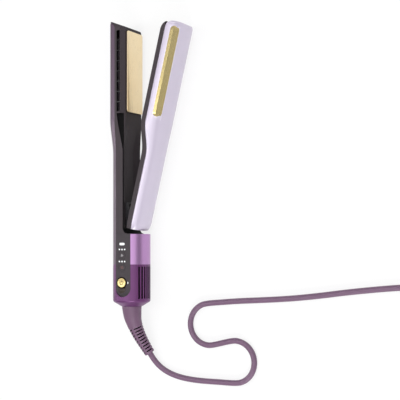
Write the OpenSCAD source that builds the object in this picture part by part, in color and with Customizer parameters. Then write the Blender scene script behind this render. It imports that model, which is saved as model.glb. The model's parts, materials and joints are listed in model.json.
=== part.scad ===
// Wet-to-dry hair straightener: a round fan handle that runs on into a fixed main arm, and a lever
// arm hinged on its side. It lies on its side and open, as it is put down. X runs from the main arm
// to the lever arm, Y from the cord to the tips, and Z is up.

/* [Handle] */
// Radius of the round handle
handle_r = 20.5; // [19.5:0.1:22]
// Top edge of the vented lower housing, from the handle's bottom
lower_top = 45.9; // [44:0.1:52]
// Top edge of the satin sleeve
sleeve_top = 79; // [77:0.5:84]
// Half width of the flat side bands and of the control panel
band_x = 9.2; // [8.4:0.1:10.5]
// Wall of the moulded shells
wall = 2.2; // [1.8:0.1:2.6]
// Height of the chamfered end cap
cap_h = 6.3; // [5:0.1:8]
// Radius of the end cap's lower face
cap_r = 12; // [11.8:0.1:13]
// Lower end of the control panel
panel_y = 10.6; // [9:0.1:13]
// Number of inlet slots on each side of the lower housing
inlet_count = 8; // [4:1:9]
// Width of an inlet slot
inlet_w = 1.9; // [1.2:0.1:2.2]
// Angle between neighbouring inlet slots
inlet_pitch = 10.4; // [9.5:0.1:10.8]

/* [Arms] */
// Half width of both heads
head_hw = 21.2; // [20.9:0.1:23]
// Depth of the main arm's head behind its parting line
head_depth = 10.2; // [9:0.1:12]
// Start of the neck where grip becomes head
neck_y = 166; // [160:1:175]
// Length of the neck
neck_len = 38; // [30:1:42]
// Tip of the main arm in the plane of its plate
tip_y = 303; // [302:0.5:312]
// Slant of the main arm's tip
tip_slant = 21; // [0:1:25]
// Rounding of the main arm's tip, seen from the plate side
tip_round = 3; // [2:0.5:4]

/* [Main arm] */
// Rim round the main plate
rim_x = 2; // [1.2:0.1:2.4]
// Half width of that rim
rim_hw = 17; // [16.9:0.1:17.6]
// Start of the chamfer beside the plate
cham_x = -2.2; // [-3:0.1:-1.8]
// Edge of the grip's side band
grip_edge_x = 0.6; // [0:0.1:1.5]
// Depth of the trough between the grip's edges
trough = 4.4; // [3:0.1:4.6]
// Number of air slots
slot_count = 8; // [4:1:10]
// Wall between neighbouring air slots
slot_rib = 1; // [0.8:0.1:2]
// Height of an air slot
slot_w = 4.1; // [2:0.1:4.2]

/* [Lever arm] */
// Parting line of the lever's shell at the head
lever_x = 5.4; // [5:0.1:6]
// Depth of the lever's head outside that line
lever_depth = 15.9; // [15:0.1:17]
// Edge of the skirt that closes over the main arm
skirt_x = 0.5; // [0.2:0.1:1.5]
// Thickness of the skirt
skirt_t = 2; // [1.6:0.1:2.2]
// Parting line of the lever's shell at the grip
lever_grip_x = 12.4; // [12:0.1:13]
// Depth of the lever's grip outside that line
lever_grip_depth = 9.8; // [9:0.1:11]
// Half width of the lever's grip
lever_grip_hw = 17.5; // [17:0.1:18.3]
// Inner face of the lever's grip
lever_in_x = 7.2; // [6.6:0.1:7.6]
// Lower end of the lever
lever_y0 = 84.5; // [84:0.1:88]
// Tip of the lever
lever_y1 = 311; // [309:0.5:318]
// Length of the accent bar on the lever's corner
bar_len = 97; // [60:1:100]
// Distance of the bar's upper end from the lever's tip
bar_gap = 5.5; // [5:0.5:12]
// Width of the bar's upper face
bar_face = 3.6; // [2.4:0.1:4.4]
// Rounding of the lever's tip, seen from the plate side
lever_round = 5; // [2:0.5:6]

/* [Hinge] */
// Hinge axis across the arms
hinge_x = 10; // [9.5:0.1:10.5]
// Hinge axis along the arms
hinge_y = 102; // [100:0.5:106]
// Opening angle at rest
open_angle = 13.75; // [8:0.25:15]
// Radius of the hinge pin
pin_r = 2; // [1.5:0.1:2.4]
// Radial play of the pin in the bracket
pin_play = 0.05; // [0.02:0.01:0.1]
// Width of the bracket's lug
lug_w = 14; // [10:0.5:15]
// Thickness of each cheek of the knuckle
cheek_w = 3.2; // [3:0.1:3.6]
// Wire of the hinge spring
spring_wire = 1; // [0.8:0.1:1.1]
// Turns of the hinge spring
spring_turns = 2.75; // [1.75:1:2.75]

/* [Plates] */
// Face of the main plate
plate_x = 4.7; // [4.5:0.1:4.8]
// Gap between the closed plates
plate_gap = 0.3; // [0.2:0.1:0.6]
// Half width of the plates
plate_hw = 16.1; // [15.5:0.1:16.3]
// Distance from the plates to the main arm's tip
plate_end = 3; // [2.6:0.1:5]
// Length of the plates
plate_len = 88.2; // [78:0.1:88.6]
// Thickness of a plate
plate_t = 1.2; // [1:0.1:1.6]
// How far a plate can be pressed in
plate_travel = 0.8; // [0.4:0.1:1]

/* [Controls] */
// Middle of the controls across the panel
ctl_x = -1.4; // [-2:0.1:0]
// Middle of the power button across the panel
power_x = -1.8; // [-2:0.1:0]
// Thickness of the control panel
panel_t = 2.4; // [2:0.1:2.6]
// Power button along the handle
power_y = 26; // [25:0.5:27]
// Radius of the power button
power_r = 5.5; // [5:0.1:5.8]
// Width of the ring round the power button
ring_w = 0.8; // [0.6:0.1:1]
// Heat button along the handle
heat_y = 42.6; // [41:0.1:43.5]
// Airflow button along the handle
air_y = 55.7; // [55.2:0.1:56]
// Width of the two mode buttons
mode_w = 8.6; // [7.6:0.1:9]
// Length of the two mode buttons
mode_l = 7.2; // [6:0.1:7.4]
// Travel of the buttons
button_travel = 0.6; // [0.3:0.1:0.6]
// Radius of a light dot
dot_r = 0.9; // [0.6:0.05:1.1]
// Distance between light dots
dot_pitch = 3.3; // [2.6:0.1:3.4]

/* [Cord] */
// Diameter of the cord
cord_d = 6.2; // [5.8:0.1:6.4]
// Distance between neighbouring turns of the coil
coil_pitch = 6.7; // [6.65:0.05:7.2]
// Outer radius of the coil, at the middle of its cord
coil_r = 51; // [50:0.5:56]
// Turns in each of the coil's two layers
coil_turns = 4.125; // [3.125:1:4.125]
// Strap thickness of the tie
tie_t = 0.8; // [0.6:0.1:1]

/* [Hidden] */
$fn = 48;
eps = 0.01;

// Round handle
band_z = sqrt(handle_r * handle_r - band_x * band_x);
inner_r = handle_r - wall;
panel_top = sleeve_top;
panel_z0 = band_z - panel_t;
panel_gap = 0.1;
slot_top = lower_top - 2.2;
slot_bottom = cap_h + 2.3;
saddle_r = 7.2;
shelf_t = 3;
plate_y0 = tip_y - plate_end - plate_len;

// Cross sections of the arms, from the upper side (+Z) over the outside to the lower side
arc_n = 24;
head_n = 3;
grip_n = 2.5;
side_a = [for (i = [0:arc_n]) 90 - 180 * i / arc_n];
function mix(a, b, t) = t == 1 ? b : a + (b - a) * t;
function ease(t) = t <= 0 ? 0 : t >= 1 ? 1 : t * t * (3 - 2 * t);
function neck(y) = ease((y - neck_y) / neck_len);
function super_pt(a, depth, hw, n) =
    [depth * pow(max(cos(a), 0), 2 / n), hw * sign(sin(a)) * pow(abs(sin(a)), 2 / n)];
function arc_pt(a, r) = let (e = acos(band_x / r) * a / 90) [r * cos(e) - band_x, r * sin(e)];
// Outside of the main shell as [x, z], its wall taken off by t
function main_out(a, k, t, inset) =
    let (g = arc_pt(a, handle_r - t), h = super_pt(a, head_depth - t, head_hw - t, head_n),
        p = mix(g, h, k)) [-band_x - p.x + inset * 0.06, p.y * (1 - inset / head_hw)];
// Outside of the lever's shell
function tail(y) = y > lever_y0 + 9 ? 0 : pow(1 - (y - lever_y0) / 9, 2);
function lever_part(y) = mix(lever_grip_x, lever_x, neck(y));
function lever_out(a, y, t, inset) =
    let (k = neck(y), d = mix(lever_grip_depth - 2.4 * tail(y), lever_depth, k) - t,
        w = mix(lever_grip_hw - 1.2 * tail(y), head_hw, k) - t,
        p = super_pt(a, d, w, mix(grip_n, head_n, k)))
    [lever_part(y) + p.x - inset * 0.25, p.y * (1 - inset / head_hw)];

// Closed skin through rings of [x, y, z] points, its faces turned outwards
function flat(l) = [for (a = l) each a];
function sum(l) = [for (a = l) 1] * l;
function middle(r) = sum(r) / len(r);
function turn(r) = sum([for (i = [0:len(r) - 1])
    cross(r[i] - r[0], r[(i + 1) % len(r)] - r[0])]);
function reversed(l) = [for (i = [len(l) - 1:-1:0]) l[i]];
// Triangles that close a flat ring of any outline, found by cutting off its ears one by one
function area2(a, b, c) = (b.x - a.x) * (c.y - a.y) - (b.y - a.y) * (c.x - a.x);
function in_tri(p, a, b, c) = area2(a, b, p) > -1e-9 && area2(b, c, p) > -1e-9
    && area2(c, a, p) > -1e-9;
function is_ear(q, l, i) = let (n = len(l), h = l[(i + n - 1) % n], j = l[i], k = l[(i + 1) % n])
    area2(q[h], q[j], q[k]) > 1e-7 && len([for (m = l)
        if (m != h && m != j && m != k && in_tri(q[m], q[h], q[j], q[k])) 1]) == 0;
function first_ear(q, l, i = 0) = i >= len(l) || is_ear(q, l, i) ? i : first_ear(q, l, i + 1);
function ears(q, l) = len(l) < 4 ? [l] : let (n = len(l), i = first_ear(q, l) % n)
    concat([[l[(i + n - 1) % n], l[i], l[(i + 1) % n]]], ears(q, [for (j = [0:n - 1]) if (j != i) l[j]]));
function cap_of(r) = let (n = len(r), q = [for (p = r) [p.z, p.x]],
    a = sum([for (i = [0:n - 1]) area2(q[0], q[i], q[(i + 1) % n])]), l = [for (i = [0:n - 1]) i])
    a > 0 ? ears(q, l) : [for (t = ears(q, reversed(l))) reversed(t)];
// A lofted skin has rings across Y of any outline; the rings of other skins are convex
module skin(rings, loft = true) {
    n = len(rings[0]);
    m = len(rings);
    outwards = turn(rings[0]) * (middle(rings[1]) - middle(rings[0])) > 0;
    use = outwards ? rings : [for (r = rings) reversed(r)];
    low = loft ? cap_of(use[0]) : [[for (i = [0:n - 1]) i]];
    high = loft ? cap_of(use[m - 1]) : low;
    sides = [for (j = [0:m - 2]) for (i = [0:n - 1])
        let (a = j * n + i, b = j * n + (i + 1) % n) each [[a, a + n, b + n], [a, b + n, b]]];
    top = [for (f = high) [for (i = reversed(f)) (m - 1) * n + i]];
    polyhedron(flat(use), concat(low, sides, top), convexity = 8);
}
function ring_at(pts, y) = [for (p = pts) [p.x, y, p.y]];
// Ring whose points lie on the slanted tip plane, moved down by off
function slant_y(x) = tip_y + (plate_x - x) * tan(tip_slant);
function tip_ring(pts, off) = [for (p = pts) [p.x, slant_y(p.x) - off, p.y]];
round_steps = [0, 22.5, 45, 67.5, 90];
function drop(a, r = tip_round) = r * (1 - sin(a));
function pull(a, r = tip_round) = r * (1 - cos(a));

// Main arm
neck_steps = [0, 0.12, 0.25, 0.38, 0.5, 0.62, 0.75, 0.88, 1];
split_y = tip_y - 14;
main_ys = concat([for (s = neck_steps) neck_y + s * neck_len], [split_y]);
back_clear = 0.05;
function shell_c(k, inset) = concat([for (a = side_a) main_out(a, k, 0, inset)],
    reversed([for (a = side_a) main_out(a, k, wall, inset)]));
function frame_half(k) = [
    mix([-band_x, band_z], [-band_x, head_hw], k),
    mix([grip_edge_x - 1.2, band_z], [cham_x, head_hw], k),
    mix([grip_edge_x, band_z - 1.2], [rim_x, rim_hw], k),
    mix([grip_edge_x - trough * 0.4, 12.5], [rim_x, 12.5], k),
    mix([grip_edge_x - trough * 0.8, 7], [rim_x, 7], k)];
trough_x = grip_edge_x - trough;
function mirrored(l) = [for (p = l) [p.x, -p.y]];
// Outline of the frame, its back flat on the parting plane or, at the tip, round like the shell
function frame_o(k, inset, round_back = false) = let (h = frame_half(k),
    all = concat(h, [[mix(trough_x, rim_x, k), 0]], reversed(mirrored(h))),
    scaled = [for (p = all) [p.x, p.y * (1 - inset / head_hw)]],
    w = scaled[0].y, back = [for (a = reversed(side_a)) if (abs(a) < 89)
        round_back ? main_out(a, k, 0, inset) : [-band_x, w * sin(a)]]) concat(scaled, back);
cavity_z = head_hw - 2.8;
floor_x = rim_x - 2.4;
window_gap = 0.3;
shell_end_y = tip_y - 0.7;
shell_end_r = 8;

// Lever arm, closed position
floor_t = 2.4;
lever_floor = plate_x + plate_gap + 3;
lever_ys = concat([0, 0.6, 1.4, 2.6, 4.4, 6.6, 9] + [for (i = [0:6]) lever_y0],
    [for (s = neck_steps) neck_y + s * neck_len], [plate_y0 + 60]);
function lever_c(y, inset) = concat([for (a = side_a) lever_out(a, y, 0, inset)],
    reversed([for (a = side_a) lever_out(a, y, wall, inset)]));
function lever_solid(y, inset) = [for (a = side_a) lever_out(a, y, wall * 0.4, inset)];
function tray_half(y) = let (k = neck(y), w = mix(lever_grip_hw - 1.2 * tail(y), head_hw, k),
    s = mix(lever_in_x, skirt_x, k), f = mix(lever_in_x, lever_floor, k), p = lever_part(y)) [
    [p, w], [s, w], [s, w - skirt_t], [mix(s, 3.2, k), mix(w - 3.2, w - 2.4, k)],
    [f, mix(w - 4.2, w - 4, k)]];
function tray_back(y) = let (k = neck(y), w = mix(lever_grip_hw - 1.2 * tail(y), head_hw, k),
    b = mix(lever_in_x, lever_floor, k) + floor_t, p = lever_part(y),
    u = [p, w - wall - 0.1], v = [mix(p - 1.4, p + 1.6, k), w - wall - 0.3])
    [u, mix(u, v, 0.3), mix(u, v, 0.6), v, [b, w - wall - 0.6]];
function tray_o(y, inset) = let (h = tray_half(y), b = tray_back(y),
    all = concat(h, [[h[4].x, 0]], reversed(mirrored(h)), mirrored(b), [[b[4].x, 0]], reversed(b)))
    [for (p = all) [p.x, p.y * (1 - inset / head_hw)]];
function lever_tip(pts, a, off = -0.3) = ring_at(pts, lever_y1 - off - drop(a, lever_round));
tray_corner = 11.5;
lever_corner = 8;
lever_edge_r = 3;
knuckle_r = 5;
knuckle_x = lever_in_x + floor_t;
knuckle_end = hinge_y + 26;
function tray_b(y) = mix(lever_in_x, lever_floor, neck(y)) + floor_t;
boss_y = [plate_y0 + 16, plate_y0 + plate_len - 16];
pad_r = 3;
pad_z = 12.6;
bridge_x = floor_x - 5.2;
main_pad_back = bridge_x;
lever_pad_back = 14;
screw_r = 1.3;
screw_head_r = 2.6;
seat_x = trough_x - 0.3;
bracket_screw_y = [hinge_y - 8.5, hinge_y + 8.5];
lever_screw_y = [140, 184];

// Inside the handle
fan_z = -3.2;
motor_r = inner_r - 5.9;
motor_y = [16, 38];
shaft_r = 1.2;
duct_r = band_z - panel_t - 0.3 + fan_z;
duct_y = [52, sleeve_top - shelf_t - 0.8];
board_z = panel_z0 - 5.1;
board_t = 1.6;
switch_top = board_z + board_t + 1.8;
button_z0 = switch_top + button_travel + 0.1;

// Placing: origin under the middle of the appliance, on the surface that it lies on
outer_x = lever_x + lever_depth;
reach_x = hinge_x + (outer_x - lever_edge_r - hinge_x) * cos(open_angle)
    + (lever_y1 - lever_edge_r - hinge_y) * sin(open_angle) + lever_edge_r;
reach_y = slant_y(-band_x - head_depth + tip_round * 0.06);
shift = [(handle_r - reach_x) / 2, -reach_y / 2, head_hw];
floor_z = -head_hw;
module placed() translate(shift) children();
// Turns what is drawn closed into the open rest position
module opened() translate([hinge_x, hinge_y, 0]) rotate(-open_angle)
    translate([-hinge_x, -hinge_y, 0]) children();
module along_y(y) translate([0, y, 0]) rotate([-90, 0, 0]) children();
module along_x(x) translate([x, 0, 0]) rotate([0, 90, 0]) children();
module both() {
    children();
    mirror([0, 0, 1]) children();
}

// Rounded rectangle from exact pieces, centred
module pill(w, l, r) {
    square([w, l - 2 * r], center = true);
    square([w - 2 * r, l], center = true);
    for (x = [-1, 1], y = [-1, 1]) translate([x * (w / 2 - r), y * (l / 2 - r)]) circle(r);
}
function arc_line(c, r, a0, a1, n = 8) =
    [for (i = [0:n]) let (a = mix(a0, a1, i / n)) c + r * [cos(a), sin(a)]];

// Colours
mauve = [0.47, 0.40, 0.46];
dark = [0.29, 0.28, 0.30];
satin = [0.70, 0.53, 0.71];
plum = [0.42, 0.27, 0.42];
lilac = [0.82, 0.79, 0.86];
gold = [0.93, 0.85, 0.66];
brass = [0.80, 0.70, 0.42];
black = [0.08, 0.08, 0.09];
steel = [0.70, 0.71, 0.73];
rubber = [0.38, 0.29, 0.38];

// Outline of the main shell seen from above, as far as it reaches towards the tip
module shell_side(x0, y0) {
    c = [-band_x - shell_end_r, shell_end_y];
    translate([0, 0, -40]) linear_extrude(80) polygon(concat([[x0, y0], [x0, shell_end_y]],
        arc_line(c, shell_end_r, 0, 90), [[-60, c.y + shell_end_r], [-60, y0]]));
}

module main_shell() placed() color(mauve) intersection() {
    skin(concat([ring_at(shell_c(0, 0), lower_top)],
        [for (y = main_ys) ring_at(shell_c(neck(y), 0), y)],
        [for (a = round_steps) tip_ring(shell_c(1, pull(a)), drop(a) + 1)]));
    shell_side(0.2 - band_x, 0);
}

// Saddle between the main arm and the top of the handle
saddle_x = grip_edge_x + saddle_r - 0.4;
module saddle() difference() {
    intersection() {
        union() {
            along_y(sleeve_top - shelf_t) cylinder(h = saddle_r + shelf_t, r = inner_r - 0.1);
            translate([1 - band_x, sleeve_top - shelf_t, 0.05 - band_z])
                cube([2 * band_x - 1, saddle_r + shelf_t, 2 * band_z - 0.1]);
        }
        translate([0.5 - band_x, 0, 0.05 - band_z]) cube([60, 200, 2 * band_z - 0.1]);
    }
    translate([saddle_x, sleeve_top + saddle_r, -40]) cylinder(h = 80, r = saddle_r);
    translate([saddle_x, sleeve_top, -40]) cube([40, 40, 80]);
    translate([-band_x - 1, sleeve_top - 10, -12]) cube([5.6, 30, 24]);
}

module air_slots() both() {
    n = slot_count;
    len = (plate_len + slot_rib) / n - slot_rib;
    for (i = [0:n - 1]) translate([cham_x - 0.3 - slot_w, plate_y0 + i * (len + slot_rib), cavity_z - 1])
        cube([slot_w, len, 10]);
}

// Dark recess that carries the row of slots on down the neck and runs out at the grip's edge
module slot_tail() both() skin([for (s = [0, 0.3, 0.65, 1])
    let (y = mix(plate_y0 - 1.6, neck_y + 5, s), z = mix(band_z, head_hw, neck(y)),
        a = mix(cham_x - 0.3 - slot_w, grip_edge_x - 1.1, s), b = mix(1, grip_edge_x + 0.2, s))
    ring_at([[a, z + 5], [a, z - mix(2, 0.2, s)], [b, z - mix(4.4, 1.2, s)], [b, z + 5]], y)]);

module plate_window(x, h) translate([x, plate_y0 + plate_len / 2, 0]) rotate([0, 90, 0])
    linear_extrude(h) pill(2 * (plate_hw + window_gap), plate_len + 2 * window_gap, 2.5);

module main_frame() placed() color(dark) difference() {
    union() {
        difference() {
            skin(concat([ring_at(frame_o(0, 0), sleeve_top - 1)],
                [for (y = main_ys) ring_at(frame_o(neck(y), 0), y)],
                [ring_at(frame_o(1, 0, true), split_y + 1)],
                [for (a = round_steps) tip_ring(frame_o(1, pull(a), true), drop(a))]));
            shell_side(back_clear - band_x, split_y - 3);
        }
        saddle();
        translate([back_clear - band_x, lower_top, back_clear - band_z])
            cube([2 * (band_x - back_clear), sleeve_top - lower_top - 0.5, panel_t]);
    }
    // Air channel, split round the hinge, with bridges that the pads stand on
    difference() {
        union() {
            translate([-30, sleeve_top + 2, -14.5]) cube([29.8 + bridge_x, neck_y - sleeve_top, 29]);
            translate([-30, neck_y, -cavity_z + 1.5])
                cube([30 + bridge_x, plate_y0 - neck_y, 2 * cavity_z - 3]);
            translate([-30, plate_y0 - 1.4, -cavity_z])
                cube([30 + floor_x, plate_len + 2.8, 2 * cavity_z]);
        }
        translate([-30, hinge_y - 13, -5]) cube([60, 26, 10]);
        for (y = boss_y) translate([bridge_x - 2.2, y - 5, -30]) cube([2.2, 10, 60]);
    }
    translate([-20, 0, panel_z0 - 0.1]) cube([60, sleeve_top + 0.05, 40]);
    plate_window(floor_x - 1, 20);
    air_slots();
    slot_tail();
    // Seat of the hinge bracket and holes for its screws
    translate([seat_x, hinge_y - 12.1, -lug_w / 2 - 0.1]) cube([20, 24.2, lug_w + 0.2]);
    for (y = bracket_screw_y) translate([0, y, 0]) along_x(seat_x - 4.6)
        cylinder(h = 20, r = screw_r - 0.1);
}

module panel_outline(gap) {
    y = panel_y + band_x;
    translate([-band_x + gap, y]) square([2 * (band_x - gap), panel_top - y]);
    translate([0, y]) circle(band_x - gap);
}

module mode_outline(gap) pill(mode_w + 2 * gap, mode_l + 2 * gap, (mode_l + 2 * gap) / 2 - eps);

// Light windows: a pill, two rows of three dots and a mark by the power button
module lights() {
    translate([ctl_x, air_y + 12.4]) pill(6.6, 2.7, 1.34);
    for (y = [air_y, heat_y], i = [-1:1]) translate([ctl_x + i * dot_pitch, y + 6.5]) circle(dot_r);
    translate([power_x + power_r + ring_w + 1.5, power_y]) pill(1.1, 2.4, 0.54);
}

module control_panel() placed() color(dark) difference() {
    translate([0, 0, panel_z0]) linear_extrude(panel_t) difference() {
        panel_outline(0.05);
        translate([power_x, power_y]) circle(power_r + ring_w);
        translate([ctl_x, heat_y]) mode_outline(0.15);
        translate([ctl_x, air_y]) mode_outline(0.15);
        lights();
    }
    // Shallow rest for the thumb below the power button
    translate([power_x, power_y - 6.5, band_z + 10]) sphere(r = 11.2);
}

module button_ring() placed() color(black) translate([power_x, power_y, panel_z0])
    rotate_extrude() polygon([[power_r + 0.08, 0], [power_r + ring_w, 0],
        [power_r + ring_w, panel_t], [power_r + ring_w - 0.2, panel_t + 0.4],
        [power_r + 0.3, panel_t + 0.4], [power_r + 0.08, panel_t + 0.1]]);

module light_windows() placed() color("white") translate([0, 0, panel_z0 + 0.4])
    linear_extrude(panel_t - 0.4) lights();

module power_button() placed() color(gold) translate([power_x, power_y, 0]) rotate_extrude()
    polygon([[0, button_z0], [power_r + 0.5, button_z0], [power_r + 0.5, panel_z0 - 0.1],
        [power_r, panel_z0 - 0.1], [power_r, band_z + 0.3], [power_r - 0.5, band_z + 0.8],
        [0, band_z + 0.6]]);

module mode_button(y) placed() color(dark) translate([ctl_x, y, 0]) {
    translate([0, 0, button_z0]) linear_extrude(panel_z0 - 0.1 - button_z0) mode_outline(0.5);
    translate([0, 0, button_z0]) linear_extrude(band_z + 0.2 - button_z0) mode_outline(0);
}
module airflow_button() mode_button(air_y);
module heat_button() mode_button(heat_y);

module circuit_board() placed() color("darkgreen") translate([-7.6, 14, board_z])
    cube([15.2, sleeve_top - shelf_t - 15, board_t]);

module tact_switches() placed() color(steel)
    for (p = [[power_x, power_y], [ctl_x, heat_y], [ctl_x, air_y]])
        translate([p.x, p.y, board_z + board_t]) {
        translate([-2.2, -2.2, 0]) cube([4.4, 4.4, 1.2]);
        cylinder(h = switch_top - board_z - board_t, r = 1.1);
    }

// Half ring of the handle's wall on the +X side, from the band's edge round
module sleeve() placed() color(satin) difference() {
    along_y(lower_top) cylinder(h = sleeve_top - lower_top, r = handle_r, $fn = 96);
    along_y(lower_top - 1) cylinder(h = sleeve_top, r = inner_r, $fn = 96);
    translate([-50, lower_top - 1, -40]) cube([50 + band_x, sleeve_top, 80]);
}

module lower_housing() placed() color(plum) difference() {
    along_y(cap_h) cylinder(h = lower_top - cap_h, r = handle_r, $fn = 96);
    along_y(cap_h - 1) cylinder(h = lower_top, r = inner_r, $fn = 96);
    translate([0, 0, panel_z0]) linear_extrude(40) panel_outline(-0.05);
    for (side = [0, 180], i = [0:inlet_count - 1])
        rotate([0, side + (i - (inlet_count - 1) / 2) * inlet_pitch, 0])
            translate([inner_r - 4, slot_bottom, -inlet_w / 2])
                cube([wall + 8, slot_top - slot_bottom, inlet_w]);
}

module end_cap() placed() color(plum) difference() {
    rotate([-90, 0, 0]) rotate_extrude($fn = 96) polygon([[cap_r - 5, 0], [cap_r, 0],
        [handle_r - 2.4, cap_h * 0.62], [handle_r - 0.6, cap_h - 1.6], [handle_r, cap_h],
        [inner_r, cap_h], [inner_r, cap_h - 1.2], [cap_r - 2, 3.2], [cap_r - 5, 3.2]]);
}

module filter_screen() placed() color(black) difference() {
    along_y(cap_h + 0.3) cylinder(h = lower_top - cap_h - 2, r = inner_r - 0.2);
    along_y(0) cylinder(h = 80, r = inner_r - 0.9);
    translate([-40, -1, panel_z0 - 0.6]) cube([80, 80, 40]);
}

module fan_motor() placed() color(steel) difference() {
    union() {
        translate([0, 0, fan_z]) along_y(motor_y[0]) cylinder(h = motor_y[1] - motor_y[0], r = motor_r);
        translate([0, 0, fan_z]) along_y(motor_y[0] - 2) cylinder(h = 3, r = 4);
    }
    translate([0, 0, fan_z]) along_y(motor_y[1] - 12) cylinder(h = 20, r = shaft_r + 0.05);
}

module motor_mount() placed() color(black) for (y = [motor_y[0] + 3, motor_y[1] - 7]) difference() {
    along_y(y) cylinder(h = 4, r = inner_r - 1);
    translate([0, 0, fan_z]) along_y(y - 1) cylinder(h = 6, r = motor_r);
    translate([-40, 0, board_z - 0.4]) cube([80, 80, 40]);
}

module impeller() placed() color([0.75, 0.72, 0.66]) translate([0, 0, fan_z]) {
    along_y(motor_y[1] + 1) cylinder(h = 9, r1 = 6.5, r2 = 3);
    along_y(motor_y[1] - 11) cylinder(h = 14, r = shaft_r);
    for (i = [0:8]) rotate([0, i * 40, 0]) translate([2, motor_y[1] + 2, -0.4])
        rotate([25, 0, 0]) cube([motor_r - 2.4, 7, 0.8]);
}

module air_duct() placed() color([0.35, 0.33, 0.33]) translate([0, 0, fan_z]) difference() {
    along_y(duct_y[0]) cylinder(h = duct_y[1] - duct_y[0], r = duct_r);
    along_y(duct_y[0] - 1) cylinder(h = duct_y[1], r = duct_r - 1.2);
}

module air_heater() placed() color([0.78, 0.72, 0.55]) translate([0, 0, fan_z]) {
    for (a = [0, 90]) rotate([0, a, 0]) translate([-duct_r + 1.6, duct_y[0] + 2, -0.4])
        cube([2 * duct_r - 3.2, duct_y[1] - duct_y[0] - 4, 0.8]);
    for (i = [0:4]) along_y(duct_y[0] + 4 + 3.6 * i) rotate_extrude() translate([8.6, 0])
        circle(r = 0.6, $fn = 16);
}

// Hinge: a lug on the main frame between two cheeks on the lever
module hinge_bracket() placed() color(black) difference() {
    union() {
        translate([seat_x, hinge_y - 12, -lug_w / 2]) cube([2.4, 24, lug_w]);
        translate([seat_x, hinge_y - 4, -lug_w / 2]) cube([hinge_x - seat_x, 8, lug_w]);
        translate([hinge_x, hinge_y, -lug_w / 2]) cylinder(h = lug_w, r = knuckle_r);
    }
    translate([hinge_x, hinge_y, -lug_w]) cylinder(h = 2 * lug_w, r = pin_r + pin_play);
    for (y = bracket_screw_y) translate([0, y, 0]) {
        along_x(seat_x - 1) cylinder(h = 20, r = screw_r + 0.1);
        along_x(seat_x + 1) cylinder(h = 20, r = screw_head_r + 0.1);
    }
}

module hinge_knuckle() placed() opened() color(black) difference() {
    union() {
        both() translate([0, 0, lug_w / 2 + 0.3]) {
            translate([hinge_x, hinge_y, 0]) cylinder(h = cheek_w, r = knuckle_r);
            translate([knuckle_x, hinge_y, 0]) cube([3.4, knuckle_end - hinge_y, cheek_w]);
        }
        translate([knuckle_x, hinge_y + 10, -lug_w / 2 - 1])
            cube([3.4, knuckle_end - hinge_y - 10, lug_w + 2]);
    }
    translate([hinge_x, hinge_y, -40]) cylinder(h = 80, r = pin_r);
}

pin_z0 = -lug_w / 2 - 0.3 - cheek_w - spring_turns * (spring_wire + 0.1) - spring_wire;
module hinge_pin() placed() opened() color("silver") translate([hinge_x, hinge_y, pin_z0])
    cylinder(h = lug_w / 2 + cheek_w + 0.8 - pin_z0, r = pin_r);

// Tube of radius r round a line of points, with sides faces; its rings stay square to the line
function unit(v) = v / norm(v);
function tangent(l, i) = unit(l[min(i + 1, len(l) - 1)] - l[max(i - 1, 0)]);
function square_to(u, t) = unit(u - (u * t) * t);
function frames(l, i = 0, u = [0, 0, 1]) = i >= len(l) ? [] :
    let (t = tangent(l, i), v = square_to(u, t)) concat([[v, cross(t, v)]], frames(l, i + 1, v));
function tube_ring(p, f, r, sides, a0 = 0) = [for (k = [0:sides - 1])
    let (a = a0 + 360 * k / sides, q = is_list(r) ? r[k] : r)
    p + q * (cos(a) * f[0] + sin(a) * f[1])];
module tube(l, r, sides, up = [0, 0, 1], a0 = 0) {
    f = frames(l, 0, up);
    skin([for (i = [0:len(l) - 1]) tube_ring(l[i], f[i], r, sides, a0)], false);
}

spring_r = pin_r + 0.5 + spring_wire / 2;
spring_z = -lug_w / 2 - 0.3 - cheek_w - 0.1 - spring_wire / 2;
spring_line = concat([[-9.8, -spring_r, 0], [-3, -spring_r, 0]],
    [for (i = [1:16 * spring_turns]) let (a = -90 + 22.5 * i)
        [spring_r * cos(a), spring_r * sin(a), -(spring_wire + 0.1) * i / 16]]);
spring_end = spring_line[len(spring_line) - 1];
module hinge_spring() placed() opened() color("silver") translate([hinge_x, hinge_y, spring_z])
    tube(concat(spring_line, [spring_end + [0, 3, 0], spring_end + [0, 6.6, 0]]), spring_wire / 2, 6);

// Plates, their carriers and heaters, as stacks seen from the plate's face
module plate_stack(x, dir, from, to) translate([x + dir * from, plate_y0 + plate_len / 2, 0])
    rotate([0, dir * 90, 0]) linear_extrude(to - from) pill(2 * plate_hw, plate_len, 2.2);
module plate_form(x, dir) intersection() {
    plate_stack(x, dir, 0, plate_t);
    translate([x, plate_y0 - 1, 0]) rotate([-90, 0, 0]) linear_extrude(plate_len + 2)
        polygon([[0, -12.5], [dir * 0.45, -plate_hw - 0.1], [dir * 5, -plate_hw - 0.1],
            [dir * 5, plate_hw + 0.1], [dir * 0.45, plate_hw + 0.1], [0, 12.5]]);
}
// Carrier with a flange that holds it behind the edge of its window
module carrier_form(x, dir, back) {
    plate_stack(x, dir, plate_t, back - 1.6);
    for (part = [[back - 1.6, 1.6, 0], [back, flange_t, flange_w]])
        translate([x + dir * part.x, plate_y0 + plate_len / 2, 0]) rotate([0, dir * 90, 0])
            linear_extrude(part.y) difference() {
                pill(2 * plate_hw + 2 * part.z, plate_len + 2 * part.z, 2.2);
                square([2 * heater_hw + 0.4, plate_len - 2 * heater_end + 0.4], center = true);
            }
}
module heater_form(x, dir, back) translate([x + dir * (back - 1.6), plate_y0 + heater_end, -heater_hw])
    translate([dir < 0 ? -heater_t : 0, 0, 0])
        cube([heater_t, plate_len - 2 * heater_end, 2 * heater_hw]);

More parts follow.
